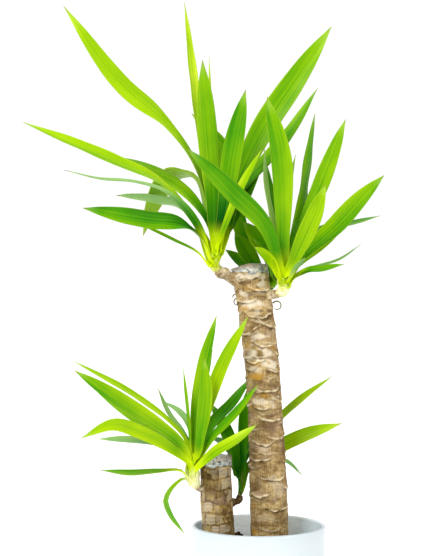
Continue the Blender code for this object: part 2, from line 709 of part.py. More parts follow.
def leaf_frames(crown, row, places):
    """(place, point, along, out of the upper face, width) at each place along a leaf's middle."""
    _, width, turns, _ = row
    turn_at_foot, turn_at_tip, turn_from, turn_to = (*turns, *USUAL_TURN_PLACES)[:4]
    stem, along, _ = leaf_spine(crown, row)
    foot = stem[0]
    upward = (stem[-1] - foot).normalized()
    middle = along(0.5)
    inward = (foot + upward * (middle - foot).dot(upward) - middle).normalized()
    frames = []
    side = 1 if (along(0.5) - along(0.45)).cross(EYE - middle).dot(UP + inward * 0.5) > 0 else -1
    for t in places:
        here = along(t)
        ahead = (along(min(t + 0.01, 1)) - along(max(t - 0.01, 0))).normalized()
        to_eye = (EYE - here).normalized()
        faced = (to_eye - ahead * ahead.dot(to_eye)).normalized()
        upper = ahead.cross(faced) * side
        turned = smooth((t - turn_from) / (turn_to - turn_from))
        turn = math.radians(turn_at_foot + (turn_at_tip - turn_at_foot) * turned)
        normal = faced * math.cos(turn) + upper * math.sin(turn)
        clasping = (inward - ahead * ahead.dot(inward)).normalized()
        clasping = (clasping * CLASP + normal * (1 - CLASP)).normalized()
        normal = clasping.lerp(normal, smooth(t / CLASPS_UNTIL)).normalized()
        frames.append((t, here, ahead, normal, width * outline_share(t)))
    return frames


def make_leaf(crown, row, finish):
    """A thin folded blade with a thicker midrib, split alike on both faces."""
    points = []
    _, _, length = leaf_spine(crown, row)
    count = min(max(round(length / STATION_SPACING) + 1, FEWEST_STATIONS), MOST_STATIONS)
    places = [i / (count - 1) for i in range(count)]
    for t, here, ahead, normal, width in leaf_frames(crown, row, places):
        across = normal.cross(ahead).normalized()
        half = max(width, TIP_WIDTH) / 2
        fold = FOLD_AT_FOOT + (FOLD_IN_BLADE - FOLD_AT_FOOT) * smooth(t / FOLDED_UNTIL)
        edge = normal * EDGE_THICKNESS / 2
        rib = normal * (RIB_THICKNESS + (EDGE_THICKNESS - RIB_THICKNESS) * t) / 2
        left = here - across * half + normal * fold * half
        right = here + across * half + normal * fold * half
        points += [left + edge, here + rib, right + edge, right - edge, here - rib, left - edge]
    faces = []
    for i in range(count - 1):
        a, b = 6 * i, 6 * (i + 1)
        for j in range(6):
            k = (j + 1) % 6
            if j in (3, 4):
                faces += [(a + j, a + k, b + j), (a + k, b + k, b + j)]
            else:
                faces += [(a + j, a + k, b + k), (a + j, b + k, b + j)]
    last = 6 * (count - 1)
    end = [(0, 1, 5), (1, 4, 5), (1, 2, 4), (2, 3, 4)]
    faces += [tuple(reversed(face)) for face in end]
    faces += [tuple(last + i for i in face) for face in end]
    return new_object(crown + "_leaf", points, faces, finish)


def all_leaves(crown):
    """The rows of a crown, with the leaves of its far side."""
    rows = LEAVES[crown] + FAR_LEAVES.get(crown, [])
    for points, width, turns, back in LEAVES[crown]:
        if back:
            count = len(points)
            shorter = [
                (x * PARTNER_SIZE, z * PARTNER_SIZE, back * (i + 1) / count)
                for i, (x, z, _) in enumerate(points)
            ]
            rows.append((shorter, width * PARTNER_SIZE, turns, 0))
    return rows


def make_crown(crown, finish):
    """The leafy stem, with every leaf fused to it."""
    points = stem_points(crown)
    rings = []
    for i, (point, radius) in enumerate(zip(points, CROWNS[crown][1])):
        before, after = points[max(i - 1, 0)], points[min(i + 1, len(points) - 1)]
        rings.append(ring_about(point, (after - before).normalized(), radius, STEM_SIDES))
    stem = tube_object(crown, rings, finish)
    leaves = [make_leaf(crown, row, finish) for row in all_leaves(crown)]
    with_boolean(stem, leaves, "UNION")
    shade_round(stem, 30)


def main():
    clear_scene()
    make_pot()
    make_soil()
    make_cane(
        "tall_cane", TALL_CANE, TALL_SIDES, TALL_RINGS, scar_relief, TALL_WAX_LINE, slanted,
        "tall_bark",
    )
    make_cane(
        "short_cane", SHORT_CANE, SHORT_SIDES, SHORT_RINGS, block_relief, SHORT_WAX_LINE, unchanged,
        "short_bark",
    )
    make_wax("tall_cane_wax_seal", TALL_CANE, TALL_SIDES, TALL_WAX_LINE, slanted)
    make_wax("short_cane_wax_seal", SHORT_CANE, SHORT_SIDES, SHORT_WAX_LINE, unchanged)
    for crown in CROWNS:
        make_crown(crown, "upper_leaf" if "upper" in crown else "lower_leaf")


main()
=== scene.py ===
# %% [markdown]
# # A potted yucca with two canes
# This lesson dresses a plant that was first drawn as plain solids. The solids give every
# piece its place. Here each one gets the finer shape and the finish of the real thing:
# sawn canes with scarred bark, wax over the cuts, leafy crowns on side stubs, and a white pot.

# %% Load the solids
import bisect
import math

import bpy
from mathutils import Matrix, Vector, noise


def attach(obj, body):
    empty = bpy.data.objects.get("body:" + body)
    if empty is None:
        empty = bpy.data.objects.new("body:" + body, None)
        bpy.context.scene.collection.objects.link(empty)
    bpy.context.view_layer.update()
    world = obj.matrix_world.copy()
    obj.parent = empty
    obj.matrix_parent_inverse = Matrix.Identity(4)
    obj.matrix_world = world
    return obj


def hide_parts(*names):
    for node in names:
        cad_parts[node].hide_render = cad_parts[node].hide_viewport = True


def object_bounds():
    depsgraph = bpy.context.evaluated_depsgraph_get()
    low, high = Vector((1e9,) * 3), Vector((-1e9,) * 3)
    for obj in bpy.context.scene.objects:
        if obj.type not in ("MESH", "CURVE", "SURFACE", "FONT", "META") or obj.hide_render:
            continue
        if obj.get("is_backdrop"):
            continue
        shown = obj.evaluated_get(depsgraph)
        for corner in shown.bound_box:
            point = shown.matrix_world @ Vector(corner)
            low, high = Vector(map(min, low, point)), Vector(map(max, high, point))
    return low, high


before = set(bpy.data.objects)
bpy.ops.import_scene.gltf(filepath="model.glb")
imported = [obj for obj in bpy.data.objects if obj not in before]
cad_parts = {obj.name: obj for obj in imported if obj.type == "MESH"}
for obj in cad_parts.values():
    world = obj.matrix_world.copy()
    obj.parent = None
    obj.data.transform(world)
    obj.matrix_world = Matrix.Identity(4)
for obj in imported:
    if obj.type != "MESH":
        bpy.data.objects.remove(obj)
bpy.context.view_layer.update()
MM = 0.001
UP = Vector((0, 0, 1))

# %% [markdown]
# ## The photographer's place
# A level camera with a long lens stands a little over two metres away, as one does for a
# catalogue picture, so upright lines stay upright. Every measure below in "across" and "up"
# is what a ruler in the plane of the pot's middle would read from here, in millimetres.

# %% Camera
EYE = Vector((-54.3, -2160.0, 555.0))
LENS = 93.2


def new_object(name, data):
    """Every object goes straight into the scene, at the origin."""
    obj = bpy.data.objects.new(name, data)
    bpy.context.scene.collection.objects.link(obj)
    return obj


camera = new_object("camera", bpy.data.cameras.new("camera"))
camera.location = EYE * MM
camera.rotation_euler = (math.pi / 2, 0, 0)
camera.data.lens = LENS
camera.data.sensor_width = 36
bpy.context.scene.camera = camera
print("camera at", tuple(round(v, 3) for v in camera.location))

# %% [markdown]
# ## Working with nodes
# A node tree is a recipe, and each node in it is one step. Written out in full, a recipe is
# hard to read, so an answer that leaves a node is wrapped here as a Value. A plain sum on
# values, such as a * b + c, then adds the nodes that work it out. This serves shapes and
# finishes alike.

# %% Values and steps
class Value:
    """An answer in a node tree. A sum on answers adds the node that works it out."""

    def __init__(self, socket):
        self.socket = socket
        self.tree = socket.id_data

    def sum(self, operation, other):
        """Numbers and vectors have arithmetic nodes of their own. This picks the right one."""
        if self.socket.type not in ("VECTOR", "RGBA"):
            return calc(operation, self, other)
        second = 1
        if operation == "MULTIPLY":
            operation, second = "SCALE", "Scale"
        return step(self.tree, "ShaderNodeVectorMath", {0: self, second: other}, operation=operation)

    def __add__(self, other):
        return self.sum("ADD", other)

    def __sub__(self, other):
        return self.sum("SUBTRACT", other)

    def __mul__(self, other):
        return self.sum("MULTIPLY", other)

    def __truediv__(self, other):
        return self.sum("DIVIDE", other)

    def __pow__(self, other):
        return self.sum("POWER", other)

    def __abs__(self):
        return calc("ABSOLUTE", self)


def step(tree, kind, inputs=(), output=0, **settings):
    """Adds a node, sets it, fills its inputs with numbers or links, and gives one answer."""
    node = tree.nodes.new(kind)
    for setting, value in settings.items():
        setattr(node, setting, value)
    for key, value in dict(inputs).items():
        if isinstance(value, Value):
            tree.links.new(value.socket, node.inputs[key])
        else:
            node.inputs[key].default_value = value
    return Value(node.outputs[output]) if node.outputs else None


def calc(operation, *values):
    """One step of arithmetic, for what has no sign of its own, such as a sine."""
    return step(values[0].tree, "ShaderNodeMath", enumerate(values), operation=operation)


def between(value, low, high):
    """0 below the first number, 1 above the second, and smooth between them."""
    inputs = {"Value": value, "From Min": low, "From Max": high, "To Min": 0.0, "To Max": 1.0}
    return step(value.tree, "ShaderNodeMapRange", inputs, "Result", interpolation_type="SMOOTHSTEP")

# %% [markdown]
# A shape recipe takes geometry in, does its steps, and gives geometry out. Its sizes are named
# inputs, so that one recipe serves pieces of several sizes, and it is run once: the plain mesh
# that it leaves is the piece.

# %% Shape recipes
def new_shape_tree(name, inputs):
    """A shape recipe, and its named inputs as answers to work with."""
    tree = bpy.data.node_groups.new(name, "GeometryNodeTree")
    for label, kind in {"Geometry": "Geometry", **inputs}.items():
        tree.interface.new_socket(label, in_out="INPUT", socket_type="NodeSocket" + kind)
    tree.interface.new_socket("Geometry", in_out="OUTPUT", socket_type="NodeSocketGeometry")
    sockets = tree.nodes.new("NodeGroupInput").outputs
    return tree, {socket.name: Value(socket) for socket in sockets if socket.name}


def named(tree, name, kind="FLOAT"):
    """Reads a value that every point carries under this name."""
    return step(tree, "GeometryNodeInputNamedAttribute", {"Name": name}, "Attribute", data_type=kind)


def stored(geometry, name, value):
    """Writes a number on every point, for the next recipe or the finish to read."""
    inputs = {"Geometry": geometry, "Name": name, "Value": value}
    settings = {"data_type": "FLOAT", "domain": "POINT"}
    return step(geometry.tree, "GeometryNodeStoreNamedAttribute", inputs, **settings)


def end_shape_tree(geometry, finish):
    """Every recipe ends the same way: real geometry, then its finish."""
    tree = geometry.tree
    real = step(tree, "GeometryNodeRealizeInstances", {0: geometry})
    dressed = step(tree, "GeometryNodeSetMaterial", {0: real, "Material": finish})
    step(tree, "NodeGroupOutput", {"Geometry": dressed})


def grow(obj, tree, values):
    """Runs a shape recipe on an object and keeps the result as a plain mesh.

    A modifier knows an input by its socket's identifier, which the tree's own list gives.
    """
    modifier = obj.modifiers.new("recipe", "NODES")
    modifier.node_group = tree
    for item in tree.interface.items_tree:
        if item.in_out == "INPUT" and item.name in values:
            modifier[item.identifier] = values[item.name]
    graph = bpy.context.evaluated_depsgraph_get()
    result = bpy.data.meshes.new_from_object(obj.evaluated_get(graph))
    obj.modifiers.clear()
    obj.data = result
    print(obj.name, "has", len(result.polygons), "faces")
    return obj

# %% [markdown]
# ## Meshes from rings
# Canes, stubs, wax and pot are all round and all uneven, so they are drawn as stacks of
# rings, each ring with its own radius at every angle. A spin or a cylinder would be quicker,
# but it couldn't carry a scar that runs only part of the way round. Every point has a few
# marks with it, numbers such as "scar" or "cream", which the finish reads later.

# %% Skins and objects
def skin(rings):
    """A closed skin over rings of (point, marks), with one more point to close each end."""
    sides = len(rings[0])
    points = [point for ring in rings for point, _ in ring]
    marks = [here for ring in rings for _, here in ring]
    faces = []
    for i in range(len(rings) - 1):
        for j in range(sides):
            k = (j + 1) % sides
            faces.append((i * sides + j, i * sides + k, (i + 1) * sides + k, (i + 1) * sides + j))
    for start, order in ((0, -1), (len(points) - sides, 1)):
        middle = len(points)
        points.append(sum(points[start : start + sides], Vector()) / sides)
        marks.append({})
        for j in range(sides):
            pair = (start + j, start + (j + 1) % sides)
            faces.append((*pair[::order], middle))
    return points, faces, marks


def joined(skins):
    """Several skins as one, so that one object can carry them."""
    all_points, all_faces, all_marks = [], [], []
    for points, faces, marks in skins:
        start = len(all_points)
        all_points += points
        all_faces += [tuple(start + i for i in face) for face in faces]
        all_marks += marks
    return all_points, all_faces, all_marks


def as_object(name, shape, finish=None, edges=()):
    """A smooth mesh object from a shape in millimetres, its marks kept on its points."""
    points, faces, marks = shape
    mesh = bpy.data.meshes.new(name)
    mesh.from_pydata([point * MM for point in points], edges, faces)
    for key in sorted({key for here in marks for key in here}):
        values = [here.get(key, 0.0) for here in marks]
        kind, field = "FLOAT", "value"
        if isinstance(values[0], Vector):
            kind, field = "FLOAT_VECTOR", "vector"
            values = [number for value in values for number in value]
        mesh.attributes.new(key, kind, "POINT").data.foreach_set(field, values)
    mesh.polygons.foreach_set("use_smooth", [True] * len(mesh.polygons))
    if finish:
        mesh.materials.append(finish)
    print(name, "has", len(points), "points")
    return new_object(name, mesh)

# %% [markdown]
# ## Curves and places
# Leaves, canes and stubs all follow a line through a few known points. The line is worked out
# here as a plain function instead of a curve object, so that a ring can be set at any height
# on it. Noise that is tied to the place of a point makes things uneven in the same way on
# every run.

# %% Curves, places and noise
def smooth(x):
    """0 below 0, 1 above 1, and a soft step between them."""
    x = min(max(x, 0.0), 1.0)
    return x * x * (3 - 2 * x)


def curve_through(knots, times, first_slope=None):
    """A function of time that passes each knot at its own time, with no corner."""
    steps = [(b - a) / (t - s) for a, b, s, t in zip(knots, knots[1:], times, times[1:])]
    slopes = [steps[0] if first_slope is None else first_slope]
    for i in range(1, len(steps)):
        share = (times[i] - times[i - 1]) / (times[i + 1] - times[i - 1])
        slopes.append(steps[i - 1] + (steps[i] - steps[i - 1]) * share)
    slopes.append(steps[-1])

    def place(time):
        i = min(max(bisect.bisect_right(times, time) - 1, 0), len(steps) - 1)
        span = times[i + 1] - times[i]
        u = (time - times[i]) / span
        start = knots[i] * (2 * u**3 - 3 * u**2 + 1) + slopes[i] * span * (u**3 - 2 * u**2 + u)
        end = knots[i + 1] * (3 * u**2 - 2 * u**3) + slopes[i + 1] * span * (u**3 - u**2)
        return start + end

    return place


def chord_times(knots):
    """The length travelled in straight lines by the time that each knot is reached."""
    times = [0.0]
    for a, b in zip(knots, knots[1:]):
        times.append(times[-1] + (b - a).length)
    return times


def seen_at(across, up, depth):
    """The point at this depth that the camera sees at (across, up)."""
    flat = Vector((across, 0, up))
    return EYE + (flat - EYE) * (1 - depth / EYE.y)


def ring_about(centre, direction, radius, sides):
    """Points round a centre, square to a direction."""
    first = direction.cross(Vector((0, 1, 0))).normalized()
    second = first.cross(direction).normalized()
    turns = [2 * math.pi * k / sides for k in range(sides)]
    return [centre + (first * math.cos(a) + second * math.sin(a)) * radius for a in turns]


def uneven(point, size, seed=0.0):
    """Smooth noise of about -0.5 to 0.5, with lumps of about this size in millimetres."""
    return noise.noise(point / size + Vector((seed, seed, 0)))


def bump(x, width):
    """1 at nought, and falling away smoothly on both sides over this width."""
    return math.exp(-((x / width) ** 2))


print("seen at (100, 600), 50 mm behind the pot's middle:", seen_at(100, 600, 50))

# %% [markdown]
# ## Colours
# Colours are written as on a paint card, 0 to 255, and turned into the linear numbers that a
# renderer mixes. A ramp turns a number into a colour, and further colours are laid over it,
# each where its own share says.

# %% Colours and layers
def colour(red, green, blue):
    """A paint-card colour as linear light."""
    linear = []
    for value in (red, green, blue):
        share = value / 255
        linear.append(share / 12.92 if share <= 0.04045 else ((share + 0.055) / 1.055) ** 2.4)
    return (*linear, 1.0)


def ramp(value, *stops):
    """Turns a number into a colour that passes these (place, colour) stops."""
    node = value.tree.nodes.new("ShaderNodeValToRGB")
    value.tree.links.new(value.socket, node.inputs["Fac"])
    elements = node.color_ramp.elements
    first, *inner, last = [(place, colour(*shade)) for place, shade in stops]
    elements[0].position, elements[0].color = first
    elements[1].position, elements[1].color = last
    for place, shade in inner:
        elements.new(place).color = shade
    return Value(node.outputs["Color"])


def mixed(share, first, second):
    """The first colour with a share of the second over it."""
    first, second = (one if isinstance(one, Value) else colour(*one) for one in (first, second))
    inputs = {"Factor": share, "A": first, "B": second}
    return step(share.tree, "ShaderNodeMix", inputs, "Result", data_type="RGBA")


def layered(base, *layers):
    """A base colour with further ones laid over it in turn, each by its own share."""
    for share, over in layers:
        base = mixed(share, base, over)
    return base


print("mid grey as linear light:", round(colour(128, 128, 128)[0], 3))

# %% [markdown]
# ## Finishes
# Each finish is built from the same few blocks: a noise stretched along the grain, the marks
# that the mesh carries, and a shader that takes the mixed colour and a height for its bumps.
# Single colours would be quicker, but they make wood and leaves look like plastic.

# %% Finishes in the making
class Finish:
    """A material in the making: what its recipe can read, and the shader that it ends in."""

    def __init__(self, name, roughness, specular):
        self.material = bpy.data.materials.new(name)
        self.material.use_nodes = True
        self.tree = self.material.node_tree
        self.shader = self.tree.nodes["Principled BSDF"]
        self.shader.inputs["Roughness"].default_value = roughness
        self.shader.inputs["Specular IOR Level"].default_value = specular

    def mark(self, name):
        """A mark that the mesh carries."""
        return step(self.tree, "ShaderNodeAttribute", output="Fac", attribute_name=name)

    def own_place(self):
        """The object's own coordinates, in metres."""
        return step(self.tree, "ShaderNodeTexCoord", output="Object")

    def place_along(self, axis):
        """How far along one of the object's own axes a point lies."""
        return step(self.tree, "ShaderNodeSeparateXYZ", {0: self.own_place()}, axis)

    def grain(self, stretch, detail, roughness=0.55, at=None):
        """Noise on the object's own coordinates, or at a place given, stretched three ways."""
        mapping = {"Vector": at or self.own_place(), "Scale": stretch}
        stretched = step(self.tree, "ShaderNodeMapping", mapping)
        inputs = {"Vector": stretched, "Scale": 1.0, "Detail": detail, "Roughness": roughness}
        return step(self.tree, "ShaderNodeTexNoise", inputs, "Fac")

    def end(self, base, height=None, distance=0.0, strength=1.0):
        """Gives the shader its colour, and its bumps where there are any."""
        self.tree.links.new(base.socket, self.shader.inputs["Base Color"])
        if height:
            inputs = {"Height": height, "Distance": distance, "Strength": strength}
            bumps = step(self.tree, "ShaderNodeBump", inputs)
            self.tree.links.new(bumps.socket, self.shader.inputs["Normal"])
        return self.material

# %% [markdown]
# ## The leaf finish
# A yucca leaf is glossy and finely ribbed along its length. It is palest at its foot, where
# no light reached it while it was folded in the bud: cream, then yellow, then green. The
# margin is a thin lime line, the underside is duller and greyer, and some tips are dry.
# Light is painted in too: shade deep inside the crown and along the midrib's fold, one half of each
# folded blade lighter than the other, and a grey-white sheen, a painted reflection, on the outer blade
# of some leaves. The swept mesh carries all of these places, so one finish serves every leaf.

# %% Leaf finish
def leaf_finish(name, fresh, lime):
    finish = Finish(name, 0.4, 0.07)
    across = finish.mark("across")
    aside = abs(across)
    along = finish.mark("along")
    foot = finish.mark("from_foot")
    leaf = finish.mark("leaf")
    light = finish.mark("light")
    on_leaf = {"X": across * finish.mark("half_width"), "Y": foot, "Z": leaf * 0.37}
    at = step(finish.tree, "ShaderNodeCombineXYZ", on_leaf)
    veins = finish.grain((700.0, 7.0, 1.0), 1.0, at=at)
    streaks = finish.grain((300.0, 5.0, 1.0), 2.0, at=at)
    patches = finish.grain((18.0, 11.0, 1.0), 2.0, at=at)
    value = light + (veins - 0.5) * 0.1 + (streaks - 0.5) * 0.34 + (patches - 0.5) * 0.42
    # Painted light: one half of each folded blade is painted lighter and the other darker, as the light
    # falls on them.
    painted_lit_half = calc("SINE", leaf * 2.4) * across
    # Painted shade: the lower blade is darkened where it lies deep inside the crown, shaded by its
    # neighbours.
    inner = between(along, 0.5, 0.14) * finish.mark("inner") * between(foot, 0.025, 0.075)
    # Painted shade: the blade is darker along its midrib, in the crease of its fold.
    rib = between(aside, 0.12, 0.0) * between(along, 0.95, 0.6)
    value = value + painted_lit_half * 0.1 - inner * 0.3 - rib * 0.12
    shades = ((0.0, (2, 48, 0)), (0.2, (4, 90, 0)), (0.42, (66, 138, 0)))
    green = ramp(value, *shades, (0.62, fresh), (0.82, lime), (1.0, (198, 224, 44)))
    margin = between(aside, 0.88, 0.98) * between(foot, 0.03, 0.08) * light**1.6
    under = finish.mark("under") * between(foot, 0.06, 0.12) * 0.18
    # Painted sheen: a grey-white reflection painted on the outer blade. It shares its colour with the
    # underside's own duller grey.
    sheen = finish.mark("silver") * between(along, 0.25, 0.5)
    cream = finish.mark("cream")
    green = layered(
        green,
        (margin, (184, 212, 50)),
        (calc("MAXIMUM", under, sheen), (146, 182, 120)),
        (between(foot, 0.08, 0.035) * finish.mark("pale"), (204, 226, 12)),
        (between(foot, cream * 1.35, cream * 0.55) * 0.9, (250, 247, 186)),
        (between(foot, 0.005, 0.0) * between(streaks, 0.4, 0.7), (186, 150, 96)),
        (between(along, 0.88, 1.0) * 0.25, (188, 212, 112)),
        (between(along, 0.955, 0.985) * finish.mark("dry"), (128, 84, 48)),
    )
    return finish.end(green, streaks, 0.0006, 0.3)


upper_leaf = leaf_finish("upper_leaf_blade", (117, 167, 0), (154, 193, 0))
lower_leaf = leaf_finish("lower_leaf_blade", (121, 167, 0), (158, 191, 2))
print("leaf finishes:", upper_leaf.name, lower_leaf.name)

# %% [markdown]
# ## Where the crowns grow
# A crown is a short leafy stem that ends a side stub. Each is given as points up its stem in
# (across, up, depth), its radii there, and the point that its leaves are measured from.

# %% Crown stems
CROWNS = {
    "crown_upper_left": (
        [(-60.5, 566.5, -5), (-66, 572.5, -6), (-64.5, 592, -6), (-63, 610, -6)],
        (8.3, 9.4, 11.0, 7.5), (-62.5, 567, -5),
    ),
    "crown_upper_right": (
        [(27.5, 531, -8), (35.5, 535.5, -10), (36.5, 556, -10), (37, 582, -10)],
        (7.5, 9.4, 10.2, 7.0), (36.5, 535.5, -10),
    ),
    "crown_upper_back": (
        [(13, 537, 38), (20, 543, 44), (20, 562, 46), (18, 584, 47)],
        (6.0, 7.5, 7.5, 4.0), (20, 541.5, 42),
    ),
    "crown_lower_left": (
        [(-92, 240.5, -16), (-97, 250, -19), (-100.5, 273, -21), (-101.5, 298, -21)],
        (5.5, 8.8, 10.8, 8.0), (-94, 241.5, -21),
    ),
    "crown_lower_right": (
        [(-28, 229, 19), (-25, 242, 20), (-25, 258, 21), (-24, 276, 22)],
        (4.8, 6.0, 6.8, 4.2), (-25, 246, 20),
    ),
}
print(len(CROWNS), "crowns")

# %% [markdown]
# ## Where the leaves grow
# Each row below follows one leaf of the real plant: points along its middle, its greatest
# width, how far its upper face turns away from the camera at foot and tip, how far behind it a
# shorter partner stands, and its tone. Copies of one leaf would be quicker, but each leaf of
# a yucca bends its own way. Two far leaves fill the backs of the fuller crowns.

